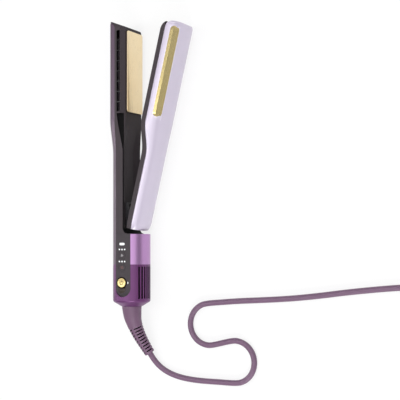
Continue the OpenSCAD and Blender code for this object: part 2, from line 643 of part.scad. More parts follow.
heater_hw = 9;
heater_t = 1.5;
heater_end = 5;
main_back = plate_x - floor_x;
flange_t = 1.2;
flange_w = 1.1;
module main_plate() placed() color(gold) plate_form(plate_x, -1);
module main_carrier() placed() color(black) carrier_form(plate_x, -1, main_back);
module main_heater() placed() color("tan") heater_form(plate_x, -1, main_back);
module main_plate_pads() placed() color("white") for (y = boss_y, z = [-pad_z, pad_z])
    translate([0, y, z]) along_x(main_pad_back)
        cylinder(h = floor_x - flange_t - main_pad_back, r = pad_r);

lever_plate_x = plate_x + plate_gap;
lever_back = lever_floor + floor_t - lever_plate_x;
module lever_plate() placed() opened() color(gold) plate_form(lever_plate_x, 1);
module lever_carrier() placed() opened() color(black) carrier_form(lever_plate_x, 1, lever_back);
module lever_heater() placed() opened() color("tan") heater_form(lever_plate_x, 1, lever_back);
module lever_plate_pads() placed() opened() color("white") for (y = boss_y, z = [-pad_z, pad_z])
    translate([0, y, z]) along_x(lever_floor + floor_t + flange_t)
        cylinder(h = lever_pad_back - lever_floor - floor_t - flange_t, r = pad_r);

module screw(len) {
    cylinder(h = len, r = screw_r);
    translate([0, 0, len]) cylinder(h = 1.4, r1 = screw_head_r, r2 = screw_head_r - 0.6);
}
module bracket_screws() placed() color(black) for (y = bracket_screw_y)
    translate([seat_x + 1, y, 0]) rotate([0, 90, 0]) translate([0, 0, -5]) screw(5);
module lever_screws() placed() opened() color(steel) for (y = lever_screw_y)
    translate([lever_in_x + 0.9, y, 0]) rotate([0, -90, 0]) translate([0, 0, -7]) screw(7);

// Side outlines of the lever with its rounded corners, closed position
module lever_outline(x, r_in) translate([0, 0, -40]) linear_extrude(80) polygon(concat(
    [[x - 0.2, 0], [x - 0.2, lever_y1 - r_in]], arc_line([x + r_in, lever_y1 - r_in], r_in, 180, 90),
    arc_line([outer_x - lever_edge_r, lever_y1 - lever_edge_r], lever_edge_r, 90, 0),
    [[outer_x + 3, neck_y + 4], [outer_x + 3, 0]]));

module lever_shell() placed() opened() color(lilac) difference() {
    union() {
        intersection() {
            union() {
                skin(concat([for (y = lever_ys) ring_at(lever_c(y, 0), y)],
                    [for (a = round_steps) lever_tip(lever_c(lever_y1, pull(a, lever_round)), a)]));
                skin([for (y = [lever_y0 + 0.3, lever_y0 + 1.2, lever_y0 + 2.4])
                    ring_at(lever_solid(y, 0), y)]);
                skin([for (a = [30, 60, 90])
                    lever_tip(lever_solid(lever_y1, pull(a, lever_round)), a, 0.3)]);
            }
            lever_outline(lever_x + 0.25, lever_corner);
        }
        for (y = lever_screw_y) translate([0, y, 0]) along_x(tray_b(y) + 0.05)
            cylinder(h = lever_grip_x + lever_grip_depth - wall / 2 - tray_b(y), r = 3.4);
        for (y = boss_y, z = [-pad_z, pad_z]) translate([0, y, z]) along_x(lever_pad_back)
            cylinder(h = 4, r = 3.6);
    }
    for (y = lever_screw_y) translate([0, y, 0]) along_x(0)
        cylinder(h = lever_in_x + 9, r = screw_r - 0.1);
    bar_form();
}

module lever_frame() placed() opened() color(dark) difference() {
    intersection() {
        union() {
            skin(concat([for (y = lever_ys) ring_at(tray_o(y, 0), y)],
                [for (a = round_steps) lever_tip(tray_o(lever_y1, pull(a, lever_round)), a)]));
            // Nose that closes the tip between the skirts, and the wall at the lower end
            skin([for (a = [0, 45, 90])
                let (h = tray_half(lever_y1), z = h[1].y - pull(a, lever_round) - 0.4)
                lever_tip([[h[0].x - 0.2, z], [h[1].x + 0.1, z], [h[1].x + 0.1, -z],
                    [h[0].x - 0.2, -z]], a, 0.2)]);
            translate([lever_in_x + 0.4, lever_y0 + 0.2, -13.6])
                cube([lever_grip_x - lever_in_x - 0.6, 2.2, 27.2]);
        }
        lever_outline(skirt_x, tray_corner);
    }
    // Room for the wall at the shell's tip
    translate([lever_x - 0.02, lever_y1 - 3.4, -40]) cube([40, 40, 80]);
    plate_window(lever_plate_x, 20);
    // Slot for the hinge
    translate([0, hinge_y - 7, pin_z0 - 0.5]) cube([30, 14, lug_w / 2 + cheek_w + 1.8 - pin_z0]);
    for (y = lever_screw_y) translate([0, y, 0]) {
        along_x(0) cylinder(h = 60, r = screw_r + 0.1);
        along_x(0) cylinder(h = lever_in_x + 0.9, r = screw_head_r + 0.2);
    }
}

// Accent bar on the upper outer corner of the lever: two faces, rounded off at both ends
bar_a = [73.5, 33];
bar_seat = 0.5;
function bar_foot(a, up) = let (p = lever_out(a, lever_y1, 0, 0), q = lever_out(a - 1, lever_y1, 0, 0),
    n = unit([p.y - q.y, q.x - p.x])) p + up * n;
module bar_form() {
    y1 = lever_y1 - bar_gap;
    y0 = y1 - bar_len;
    edge = bar_foot(bar_a[0], 0.25);
    corner = [edge.x + bar_face, edge.y + 0.1];
    side = bar_foot(bar_a[1], 0.35);
    face = [bar_foot(bar_a[0], -bar_seat), edge, corner, side, bar_foot(bar_a[1], -bar_seat),
        bar_foot(55, -bar_seat)];
    foot = bar_foot(54, -bar_seat);
    steps = [[0, 0.4], [0.5, 0.62], [1.4, 0.8], [2.8, 0.93], [4.6, 1]];
    ends = concat([for (s = steps) [y0 + s.x, s.y]], [for (s = reversed(steps)) [y1 - s.x, s.y]]);
    skin([for (e = ends) ring_at([for (p = face) mix(foot, p, e.y)], e.x)]);
}
module accent_bar() placed() opened() color(brass) bar_form();

// Strain relief: held in the end cap by a groove, then a bent taper with rings of short slots
relief_line = [[0, 6, 0], [0, -1, 0], [0.6, -11, -0.8], [1.9, -18, -1.8], [3.8, -25, -3.6],
    [6.1, -32, -5.8], [8.9, -39, -8.4], [12, -46, -11.2], [15, -52, -13.6]];
relief_r = [10.8, 10.8, 9.8, 8.6, 7.8, 7.2, 6.6, 6.1, 5.7];
relief_slots = 9;
relief_root = [[4.8, 9], [3.3, 9], [3.2, cap_r - 5.05], [0, cap_r - 5.05], [-0.1, 10.8],
    [-1, 10.8]];
function at(l, t) = let (i = min(floor(t), len(l) - 2)) mix(l[i], l[i + 1], t - i);
function smooth_at(l, t) = let (n = len(l) - 1, i = min(floor(t), n - 1), u = t - i,
    a = l[max(i - 1, 0)], b = l[i], c = l[i + 1], d = l[min(i + 2, n)])
    0.5 * (2 * b + (c - a) * u + (2 * a - 5 * b + 4 * c - d) * u * u
        + (3 * b - a - 3 * c + d) * u * u * u);
slot_steps = [[0, 0], [0.07, 1], [0.21, 1], [0.28, 0]];
relief_rings = concat([for (t = [1.2, 1.6, 2, 2.5, 3, 3.5]) [t, 0]],
    [for (i = [0:relief_slots - 1]) each [for (s = slot_steps) [3.7 + 0.45 * i + s.x, s.y]]],
    [[7.85, 0], [8, 0]]);
module strain_relief() placed() color(rubber) {
    straight = [for (r = relief_root) [0, r.x, 0]];
    pts = concat(straight, [for (r = relief_rings) smooth_at(relief_line, r.x)]);
    size = concat([for (r = relief_root) [r.y, 0]],
        [for (r = relief_rings) [at(relief_r, r.x), r.y]]);
    f = frames(pts);
    skin([for (i = [0:len(pts) - 1]) tube_ring(pts[i], f[i],
        [for (k = [0:19]) size[i].x - (abs((18 * k) % 90 - 45) < 28 ? 1.5 * size[i].y : 0)], 20)], false);
}

// Free cord: along the surface in two loose bends, and on to the coil
cord_z = floor_z + cord_d / 2 + 0.05;
bend_r = 22.5;
function bend(c, a0, a1) = [for (p = arc_line(c, bend_r, a0, a1)) [p.x, p.y, -18]];
cord_line = concat([[15, -52, -13.6], [19.2, -59.4, -15.8], [25, -66, -17.2], [33, -71.4, -18],
    [44, -75.6, -18], [58, -78.4, -18], [76, -79.8, -18], [97, -80, -18]],
    bend([117, -57.5], -90, 103), bend([86, -18.5], 283, 95),
    [[104, 5.9, -18], [122, 7.4, -18], [142, 8.6, -18], [164, 10, -18], [188, 12, -18],
    [214, 15, -18], [240, 18.5, -18], [266, 21.5, -18], [292, 24, -18], [314, 25.2, -17.6],
    [336, 25.5, -17.1], [356, 25.5, -17]]);
function on_floor(p) = [p.x, p.y, p.z < -17.9 ? cord_z : p.z];
module cord() placed() color(rubber)
    tube([for (p = cord_line) on_floor(p)], cord_d / 2, 8, [0, 0, 1], 22.5);

// Coil: two layers, in on the lower one and out again on the upper one
coil_z = [floor_z + tie_t + 0.3 + cord_d / 2, floor_z + tie_t + 0.3 + cord_d / 2 + coil_pitch];
coil_c = [362, 25.5 - coil_r];
coil_half = 360 * coil_turns;
coil_in = coil_r - coil_pitch * coil_turns;
function coil_pt(a) = let (r = coil_in + coil_pitch * abs(coil_half - a) / 360,
    z = mix(coil_z[0], coil_z[1], ease((a - coil_half + 90) / 180)))
    [coil_c.x + r * cos(90 - a), coil_c.y + r * sin(90 - a), z];
coil_a = [for (a = [0:15:2 * coil_half]) a];
coil_end = coil_pt(2 * coil_half);
coil_dir = unit(coil_pt(2 * coil_half) - coil_pt(2 * coil_half - 6));
plug_z = floor_z + 8.2;
coil_out = [for (s = [8, 16, 26, 36, 42]) let (p = coil_end + s * coil_dir)
    [p.x, p.y, mix(coil_z[1], plug_z, ease((s - 4) / 30))]];
coil_start = [[356, 25.5, -17], [coil_c.x - 0.5, 25.5, coil_z[0]]];
coil_line = concat([coil_start[0]], [for (a = coil_a) coil_pt(a)], coil_out);
coil_gap = min([for (i = [0:2:len(coil_a) - 14]) min([for (j = [i + 12:len(coil_a) - 1])
    norm(coil_line[i + 1] - coil_line[j + 1])])]) - cord_d;
echo(coil_least_gap = coil_gap);
module cord_coil() placed() color(rubber) tube(coil_line, cord_d / 2, 6, [0, 0, 1], 30);

function length_of(l) = sum([for (i = [1:len(l) - 1]) norm(l[i] - l[i - 1])]);
echo(cord_length = length_of(cord_line) + length_of(coil_line));

module cord_tie() placed() color(black) translate([coil_c.x, coil_c.y, floor_z]) rotate(-135)
    translate([(coil_r + coil_in) / 2, 0, 0]) {
        w = coil_r - coil_in + cord_d + 2.4;
        h = coil_z[1] - floor_z + cord_d / 2 + 0.4;
        difference() {
            translate([-w / 2 - tie_t, -5, 0]) cube([w + 2 * tie_t, 10, h + tie_t]);
            translate([-w / 2, -6, tie_t]) cube([w, 12, h - tie_t]);
        }
    }

plug_at = coil_out[len(coil_out) - 1];
plug_turn = atan2(coil_dir.y, coil_dir.x);
module plug_frame() translate(plug_at) rotate(plug_turn) children();
module plug_body() placed() color(rubber) plug_frame() {
    hull() {
        translate([18, 0, 0]) rotate([0, 90, 0]) cylinder(h = 1, r = 5.4, $fn = 32);
        translate([26, -11, -8]) cube([2, 22, 16]);
    }
    hull() {
        translate([26, -11, -8]) cube([2, 22, 16]);
        translate([44, -12.5, -8]) cube([2, 25, 16]);
    }
    rotate([0, 90, 0]) cylinder(h = 19, r1 = cord_d / 2 + 0.7, r2 = 5.4);
}
module plug_pins() placed() color(steel) plug_frame() for (y = [-6.35, 6.35])
    difference() {
        translate([46, y - 0.75, -3.2]) cube([17, 1.5, 6.4]);
        translate([58, y - 2, 0]) rotate([-90, 0, 0]) cylinder(h = 4, r = 1.6);
    }

main_shell();
main_frame();
control_panel();
sleeve();
lower_housing();
end_cap();
button_ring();
light_windows();
circuit_board();
tact_switches();
filter_screen();
fan_motor();
motor_mount();
air_duct();
air_heater();
hinge_bracket();
main_plate_pads();
bracket_screws();
impeller();
main_plate();
main_carrier();
main_heater();
power_button();
airflow_button();
heat_button();
lever_shell();
lever_frame();
accent_bar();
hinge_knuckle();
hinge_pin();
hinge_spring();
lever_plate_pads();
lever_screws();
lever_plate();
lever_carrier();
lever_heater();
strain_relief();
cord();
cord_coil();
cord_tie();
plug_body();
plug_pins();
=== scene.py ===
"""Hair straightener with a fan handle, a fixed arm, a sprung lever arm and a coiled cord."""

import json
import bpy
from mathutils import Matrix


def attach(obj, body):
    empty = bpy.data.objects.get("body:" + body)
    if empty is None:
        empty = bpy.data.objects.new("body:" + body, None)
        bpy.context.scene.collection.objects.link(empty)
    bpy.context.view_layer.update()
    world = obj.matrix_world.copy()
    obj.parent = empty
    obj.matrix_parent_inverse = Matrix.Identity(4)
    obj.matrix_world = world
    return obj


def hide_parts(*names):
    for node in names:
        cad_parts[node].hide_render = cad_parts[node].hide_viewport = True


bl_info = {
    "name": "Hair Straightener",
    "version": (1, 0, 0),
    "blender": (4, 5, 0),
    "location": "View3D > Sidebar > Straightener",
    "description": "Builds a wet-to-dry hair straightener, its cord, its finishes and a studio",
    "category": "Add Mesh",
}

from math import acos, atan2, cos, hypot, pi, radians, sin, tan
from types import SimpleNamespace

import bpy
from bpy.props import FloatProperty, FloatVectorProperty, IntProperty, PointerProperty
from mathutils import Matrix, Vector

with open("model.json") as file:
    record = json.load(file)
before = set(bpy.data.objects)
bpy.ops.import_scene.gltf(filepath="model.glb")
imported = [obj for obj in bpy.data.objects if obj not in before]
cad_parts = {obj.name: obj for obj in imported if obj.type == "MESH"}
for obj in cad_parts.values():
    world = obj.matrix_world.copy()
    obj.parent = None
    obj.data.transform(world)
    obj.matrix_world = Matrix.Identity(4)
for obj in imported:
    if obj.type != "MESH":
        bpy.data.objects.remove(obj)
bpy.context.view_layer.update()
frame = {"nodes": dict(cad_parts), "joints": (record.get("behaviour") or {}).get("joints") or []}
JOINTS = {joint["name"]: joint for joint in frame["joints"]}
HINGE = Vector((10, 102, 0))
ORIGIN = Vector(JOINTS["lever_hinge"]["pos_m"]) * 1000 - HINGE
OPEN_ANGLE = radians(JOINTS["lever_hinge"]["range_deg"][1])


def paint(code):
    """Linear colour from a hex code."""
    parts = [int(code[i:i + 2], 16) / 255 for i in (0, 2, 4)]
    return [c / 12.92 if c <= 0.04045 else ((c + 0.055) / 1.055) ** 2.4 for c in parts] + [1]


# sizes and colours


def length(name, text, value, low=0.0, high=1.0):
    """Length setting in metres."""
    return FloatProperty(name=name, description=text, default=value, min=low, max=high,
                         unit="LENGTH", precision=4)


def turn_angle(name, text, value):
    """Angle setting, its default in degrees."""
    return FloatProperty(name=name, description=text, default=radians(value), subtype="ANGLE")


def count(name, text, value, high):
    """Whole number setting."""
    return IntProperty(name=name, description=text, default=value, min=1, max=high)


def colour(name, text, code):
    """Colour setting, its default as a hex code."""
    return FloatVectorProperty(name=name, description=text, default=paint(code), size=4,
                               min=0, max=1, subtype="COLOR")


class HandleSizes(bpy.types.PropertyGroup):
    """Sizes of the round handle."""
    handle_r: length("Radius", "Radius of the round handle", 0.0205)
    lower_top: length("Housing top", "Top edge of the vented housing", 0.0459)
    sleeve_top: length("Sleeve top", "Top edge of the satin sleeve", 0.079)
    band_x: length("Band half width", "Half width of the flat bands", 0.0092)
    wall: length("Wall", "Wall of the moulded shells", 0.0022)
    cap_h: length("Cap height", "Height of the chamfered end cap", 0.0063)
    cap_r: length("Cap radius", "Radius of the cap's lower face", 0.012)
    panel_y: length("Panel end", "Lower end of the control panel", 0.0106)
    panel_t: length("Panel thickness", "Thickness of the control panel", 0.0024)
    saddle_r: length("Saddle radius", "Curve between fixed arm and handle", 0.0072)
    inlet_w: length("Inlet width", "Width of an inlet slot", 0.0019)
    inlet_count: count("Inlet slots", "Slots on each side of the housing", 8, 9)
    inlet_pitch: turn_angle("Inlet pitch", "Angle between neighbouring slots", 10.4)


class ArmSizes(bpy.types.PropertyGroup):
    """Sizes of the fixed arm and of the plates."""
    head_hw: length("Head half width", "Half width of both heads", 0.0212)
    head_depth: length("Head depth", "Depth of the fixed head's shell", 0.0102)
    neck_y: length("Neck start", "Where the grip starts to widen", 0.166)
    neck_len: length("Neck length", "Length over which it widens", 0.038)
    tip_y: length("Tip", "Tip in the plane of the plate", 0.303)
    tip_slant: turn_angle("Tip slant", "Slant of the fixed arm's tip", 21)
    tip_round: length("Tip rounding", "Rounding of that tip", 0.003)
    rim_x: length("Rim face", "Face of the rim round the plate", 0.002, -1)
    rim_hw: length("Rim half width", "Half width of that rim", 0.017)
    cham_x: length("Chamfer start", "Start of the chamfer beside the plate", -0.0022, -1)
    grip_edge: length("Grip edge", "Inner edge of the grip's side band", 0.0006, -1)
    trough: length("Trough", "Depth of the hollow along the grip", 0.0044)
    slot_w: length("Slot height", "Height of an air slot", 0.0041)
    slot_rib: length("Slot rib", "Wall between neighbouring air slots", 0.001)
    slot_count: count("Air slots", "Number of air slots", 8, 10)
    plate_x: length("Plate face", "Face of the fixed plate", 0.0047)
    plate_gap: length("Plate gap", "Gap between the closed plates", 0.0003)
    plate_hw: length("Plate half width", "Half width of the plates", 0.0161)
    plate_end: length("Plate end", "From the plates to the tip", 0.003)
    plate_len: length("Plate length", "Length of the plates", 0.0882)
    plate_t: length("Plate thickness", "Thickness of a plate", 0.0012)


class LeverSizes(bpy.types.PropertyGroup):
    """Sizes of the lever arm, as it lies closed on the fixed arm."""
    lever_x: length("Parting line", "Parting line at the head", 0.0054)
    lever_depth: length("Head depth", "Depth of the lever's head", 0.0159)
    skirt_x: length("Skirt edge", "Edge of the skirt round the plate", 0.0005, -1)
    skirt_t: length("Skirt thickness", "Thickness of the skirt", 0.002)
    grip_x: length("Grip parting line", "Parting line at the grip", 0.0124)
    grip_depth: length("Grip depth", "Depth of the grip's shell", 0.0098)
    grip_hw: length("Grip half width", "Half width of the grip", 0.0175)
    inner_x: length("Inner face", "Inner face of the grip", 0.0072)
    lever_y0: length("Lower end", "Lower end of the lever", 0.0845)
    lever_y1: length("Tip", "Tip of the lever", 0.311)
    lever_round: length("Tip rounding", "Rounding of the lever's tip", 0.005)
    bar_len: length("Bar length", "Length of the accent bar", 0.097)
    bar_gap: length("Bar gap", "From the bar to the lever's tip", 0.0055)
    bar_face: length("Bar face", "Width of the bar's upper face", 0.0036)


class ControlSizes(bpy.types.PropertyGroup):
    """Places and sizes of the controls on the panel."""
    ctl_x: length("Controls across", "Middle of the controls", -0.0014, -1)
    power_x: length("Power across", "Middle of the power button", -0.0018, -1)
    power_y: length("Power along", "Power button along the handle", 0.026)
    power_r: length("Power radius", "Radius of the power button", 0.0055)
    ring_w: length("Ring width", "Width of the ring round it", 0.0008)
    heat_y: length("Heat along", "Heat button along the handle", 0.0426)
    air_y: length("Air along", "Airflow button along the handle", 0.0557)
    mode_w: length("Mode width", "Width of the mode buttons", 0.0086)
    mode_l: length("Mode length", "Length of the mode buttons", 0.0072)
    dot_r: length("Dot radius", "Radius of a light dot", 0.0009)
    dot_pitch: length("Dot pitch", "Distance between light dots", 0.0033)


class CordSizes(bpy.types.PropertyGroup):
    """Sizes of the mains cord and its coil."""
    cord_d: length("Diameter", "Diameter of the cord", 0.0062)
    coil_pitch: length("Coil pitch", "Distance between neighbouring turns", 0.0067)
    coil_r: length("Coil radius", "Outer radius at the middle of the cord", 0.051)
    tie_t: length("Tie thickness", "Strap thickness of the tie", 0.0008)
    coil_turns: FloatProperty(name="Turns", description="Turns in each layer of the coil",
                              default=4.125, min=1, max=8)


class Finishes(bpy.types.PropertyGroup):
    """Colours of the visible finishes."""
    shell: colour("Fixed shell", "Satin mauve of the fixed arm's shell", "614e60")
    core: colour("Dark mouldings", "Grey of the core, the panel and the tray", "443e42")
    sleeve: colour("Sleeve", "Satin light purple of the sleeve", "b98fc0")
    housing: colour("Housing", "Plum of the vented housing", "6c3b6e")
    lever: colour("Lever shell", "Pale lilac of the lever", "cfc6d8")
    plate: colour("Plates", "Champagne coating of the plates", "fbeac6")
    accent: colour("Accent bar", "Pale gold of the accent bar", "e9d69e")
    button: colour("Power button", "Pale gold of the power button", "dcc78c")
    cord: colour("Cord", "Plum rubber of the cord", "73566f")
    floor: colour("Floor", "Pale floor", "f4f4f5")


class Straightener(bpy.types.PropertyGroup):
    """All settings of the straightener."""
    handle: PointerProperty(type=HandleSizes)
    arm: PointerProperty(type=ArmSizes)
    lever: PointerProperty(type=LeverSizes)
    controls: PointerProperty(type=ControlSizes)
    cord: PointerProperty(type=CordSizes)
    finish: PointerProperty(type=Finishes)


SIZE_GROUPS = ("handle", "arm", "lever", "controls", "cord")


def sizes():
    """All sizes by name, lengths in millimetres, with the ones that follow from them."""
    found = {}
    for key in SIZE_GROUPS:
        group = getattr(bpy.context.scene.straightener, key)
        for prop in group.bl_rna.properties:
            if prop.identifier in {"rna_type", "name"}:
                continue
            factor = 1000 if getattr(prop, "unit", "NONE") == "LENGTH" else 1
            found[prop.identifier] = getattr(group, prop.identifier) * factor
    s = SimpleNamespace(**found)
    s.band_z = (s.handle_r ** 2 - s.band_x ** 2) ** 0.5
    s.inner_r = s.handle_r - s.wall
    s.trough_x = s.grip_edge - s.trough
    s.plate_y0 = s.tip_y - s.plate_end - s.plate_len
    s.cavity_z = s.head_hw - 2.8
    s.floor_x = s.rim_x - 2.4
    s.saddle_x = s.grip_edge + s.saddle_r - 0.4
    s.lever_plate_x = s.plate_x + s.plate_gap
    s.lever_floor = s.plate_x + s.plate_gap + 3
    s.outer_x = s.lever_x + s.lever_depth
    s.grip_last = s.neck_y - 20
    s.head_last = s.tip_y - 14
    return s


# shaping tools


def deselect():
    """Nothing stays selected."""
    bpy.ops.object.select_all(action="DESELECT")


def choose(ob):
    """One object is selected and active."""
    deselect()
    ob.select_set(True)
    bpy.context.view_layer.objects.active = ob
    return ob


def started(name):
    """The primitive just added, under its own name."""
    ob = bpy.context.object
    ob.name = ob.data.name = name
    return ob


def mix(p, q, t):
    """Point or number between two others."""
    if isinstance(p, (int, float)):
        return p + (q - p) * t
    return tuple(a + (b - a) * t for a, b in zip(p, q))


def ease(t):
    """Soft step from 0 to 1."""
    t = min(max(t, 0.0), 1.0)
    return t * t * (3 - 2 * t)


def steps(low, high, n):
    """Evenly spaced numbers, both ends among them."""
    return [low + (high - low) * i / n for i in range(n + 1)]


def arc(centre, r, a0, a1, n):
    """Points on an arc, angles in degrees."""
    return [(centre[0] + r * cos(radians(a)), centre[1] + r * sin(radians(a)))
            for a in steps(a0, a1, n)]


def ring(points, y):
    """Section points as a ring across the handle."""
    return [(x, y, z) for x, z in points]


def apply(ob, kind, **values):
    """Adds a modifier with these values and applies it."""
    modifier = ob.modifiers.new(kind.lower(), kind)
    for key, value in values.items():
        setattr(modifier, key, value)
    choose(ob)
    bpy.ops.object.modifier_apply(modifier=modifier.name)
    return ob


def edit_all(ob, operator, **values):
    """Runs one edit mode operator on the whole mesh."""
    choose(ob)
    bpy.ops.object.mode_set(mode="EDIT")
    bpy.ops.mesh.select_all(action="SELECT")
    operator(**values)
    bpy.ops.object.mode_set(mode="OBJECT")


def clean(ob, merge=1e-4):
    """Merges doubles and turns the faces outwards."""
    edit_all(ob, bpy.ops.mesh.remove_doubles, threshold=merge)
    edit_all(ob, bpy.ops.mesh.normals_make_consistent, inside=False)
    return ob


def loft(name, rings):
    """Skin through closed rings of points: a grid, its seam merged and its ends filled."""
    deselect()
    bpy.ops.mesh.primitive_grid_add(x_subdivisions=len(rings[0]), y_subdivisions=len(rings) - 1)
    ob = started(name)
    rows = [list(r) + [r[0]] for r in rings]
    ob.data.vertices.foreach_set("co", [c for row in rows for p in row for c in p])
    clean(ob)
    edit_all(ob, bpy.ops.mesh.fill_holes, sides=0)
    edit_all(ob, bpy.ops.mesh.normals_make_consistent, inside=False)
    return ob


def slab(name, outline, z0, z1):
    """Flat outline pulled up from z0 to z1."""
    deselect()
    bpy.ops.mesh.primitive_circle_add(vertices=len(outline), fill_type="NGON")
    ob = started(name)
    ob.data.vertices.foreach_set("co", [c for x, y in outline for c in (x, y, z0)])
    edit_all(ob, bpy.ops.mesh.extrude_region_move,
             TRANSFORM_OT_translate={"value": (0, 0, z1 - z0)})
    return clean(ob)


def spun(name, profile, centre=(0, 0, 0), axis=(0, 1, 0), n=96):
    """Profile of radius and height spun round an axis along Y or Z."""
    deselect()
    bpy.ops.mesh.primitive_circle_add(vertices=len(profile), fill_type="NOTHING")
    ob = started(name)
    along_y = axis[1] == 1
    place = [(centre[0] + r, centre[1] + h, centre[2]) if along_y
             else (centre[0] + r, centre[1], centre[2] + h) for r, h in profile]
    ob.data.vertices.foreach_set("co", [c for p in place for c in p])
    edit_all(ob, bpy.ops.mesh.spin, steps=n, angle=2 * pi, center=centre, axis=axis)
    return clean(ob, 1e-3)


def block(name, low, high):
    """Box between two corners."""
    deselect()
    middle = [(a + b) / 2 for a, b in zip(low, high)]
    bpy.ops.mesh.primitive_cube_add(size=1, location=middle)
    bpy.context.object.scale = [b - a for a, b in zip(low, high)]
    bpy.ops.object.transform_apply(location=True, rotation=True, scale=True)
    return started(name)


def round_bar(name, centre, r, depth, axis="Z", n=48):
    """Cylinder along one axis, its middle at centre."""
    deselect()
    turn = {"X": (0, pi / 2, 0), "Y": (pi / 2, 0, 0), "Z": (0, 0, 0)}[axis]
    bpy.ops.mesh.primitive_cylinder_add(vertices=n, radius=r, depth=depth, location=centre,
                                        rotation=turn)
    bpy.ops.object.transform_apply(location=True, rotation=True, scale=True)
    return started(name)


def cut(ob, tools, operation="DIFFERENCE"):
    """Boolean with each tool in turn; cut faces keep the tool's own material."""
    for tool in tools:
        apply(ob, "BOOLEAN", object=tool, operation=operation, solver="EXACT",
              material_mode="TRANSFER")
        bpy.data.objects.remove(tool)
    return ob


def soften(ob, width, angle=32, segments=2):
    """Small rounding on the edges sharper than angle."""
    return apply(ob, "BEVEL", width=width, segments=segments, limit_method="ANGLE",
                 angle_limit=radians(angle), use_clamp_overlap=True, miter_outer="MITER_ARC")


def join(name, parts):
    """Several meshes as one object."""
    deselect()
    for part in parts:
        part.select_set(True)
    bpy.context.view_layer.objects.active = parts[0]
    bpy.ops.object.join()
    return started(name)


def pill(cx, cy, w, l, r, n=10):
    """Outline of a rounded rectangle."""
    x, y = w / 2 - r, l / 2 - r
    return (arc((cx + x, cy + y), r, 0, 90, n) + arc((cx - x, cy + y), r, 90, 180, n)
            + arc((cx - x, cy - y), r, 180, 270, n) + arc((cx + x, cy - y), r, 270, 360, n))


def stroke(points, w):
    """Outline of a line of width w with square ends."""
    left, right = [], []
    for i, p in enumerate(points):
        a, b = points[max(i - 1, 0)], points[min(i + 1, len(points) - 1)]
        t = hypot(b[0] - a[0], b[1] - a[1])
        n = (-(b[1] - a[1]) / t * w / 2, (b[0] - a[0]) / t * w / 2)
        left.append((p[0] + n[0], p[1] + n[1]))
        right.append((p[0] - n[0], p[1] - n[1]))
    return left + right[::-1]


CLOSED = Matrix.Translation(ORIGIN / 1000) @ Matrix.Scale(0.001, 4)
OPENED = (CLOSED @ Matrix.Translation(HINGE) @ Matrix.Rotation(-OPEN_ANGLE, 4, "Z")
          @ Matrix.Translation(-HINGE))


def settle(ob, body, finish, stands_for=(), opened=False, smooth=32):
    """Puts a finished piece in its place on its body, with its material."""
    ob.data.transform(OPENED if opened else CLOSED)
    own = MATERIALS[finish]
    if ob.data.materials:
        ob.data.materials[0] = own
    else:
        ob.data.materials.append(own)
    choose(ob)
    bpy.ops.object.shade_smooth_by_angle(angle=radians(smooth))
    apply(ob, "WEIGHTED_NORMAL", keep_sharp=True)
    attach(ob, body)
    if stands_for:
        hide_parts(*stands_for)
    deselect()
    return ob


# materials

MATERIALS = {}
# Sizes of the patterns, as scales of Blender's noise
CLOUD_SIZE, GRAIN_SIZE, LINE_SIZE, EDGE_BREAKUP_SIZE, STAIN_SIZE = 30.0, 2500.0, 900.0, 260.0, 22.0
# Pointiness where the painted edge highlight starts and where it is full, and how much of the
# highlight colour shows
HIGHLIGHT_RANGE, HIGHLIGHT_AMOUNT = (0.52, 0.6), 0.8
# Height of the grain's bumps in metres
GRAIN_HEIGHT = 0.0002


def node_group(name, inputs, outputs):
    """Empty shader node group with named sockets, and its two end nodes."""
    group = bpy.data.node_groups.new(name, "ShaderNodeTree")
    for label, kind, value in inputs:
        socket = group.interface.new_socket(label, in_out="INPUT", socket_type=kind)
        socket.default_value = value
    for label, kind in outputs:
        group.interface.new_socket(label, in_out="OUTPUT", socket_type=kind)
    return group, group.nodes.new("NodeGroupInput"), group.nodes.new("NodeGroupOutput")


def wire(tree, source, out, target, into):
    """Link between two named or numbered sockets."""
    tree.links.new(source.outputs[out], target.inputs[into])


def math_node(tree, operation, first, second, clamp=False):
    """Math node fed by (node, socket) pairs or by numbers."""
    node = tree.nodes.new("ShaderNodeMath")
    node.operation = operation
    node.use_clamp = clamp
    for i, value in enumerate((first, second)):
        if isinstance(value, tuple):
            wire(tree, value[0], value[1], node, i)
        else:
            node.inputs[i].default_value = value
    return node, 0


def noise(tree, scale, detail=2.0, stretch=None):
    """Noise on the object's own coordinates; scale is a number or a (node, socket) pair."""
    place = tree.nodes.new("ShaderNodeTexCoord")
    mapping = tree.nodes.new("ShaderNodeMapping")
    wire(tree, place, "Object", mapping, "Vector")
    if stretch:
        mapping.inputs["Scale"].default_value = stretch
    node = tree.nodes.new("ShaderNodeTexNoise")
    wire(tree, mapping, 0, node, "Vector")
    node.inputs["Detail"].default_value = detail
    if isinstance(scale, tuple):
        wire(tree, scale[0], scale[1], node, "Scale")
    else:
        node.inputs["Scale"].default_value = scale
    return node, 0


def blend_colour(tree, factor, first, second):
    """Colour mix fed by (node, socket) pairs."""
    node = tree.nodes.new("ShaderNodeMix")
    node.data_type = "RGBA"
    wire(tree, factor[0], factor[1], node, 0)
    wire(tree, first[0], first[1], node, 6)
    wire(tree, second[0], second[1], node, 7)
    return node, 2


def uneven_gloss(group, start, end, pattern):
    """Roughness between the low and the high gloss, led by a pattern."""
    spread = math_node(group, "SUBTRACT", (start, "Gloss high"), (start, "Gloss low"))
    part = math_node(group, "MULTIPLY", pattern, spread)
    total = math_node(group, "ADD", part, (start, "Gloss low"))
    wire(group, *total, end, "Roughness")


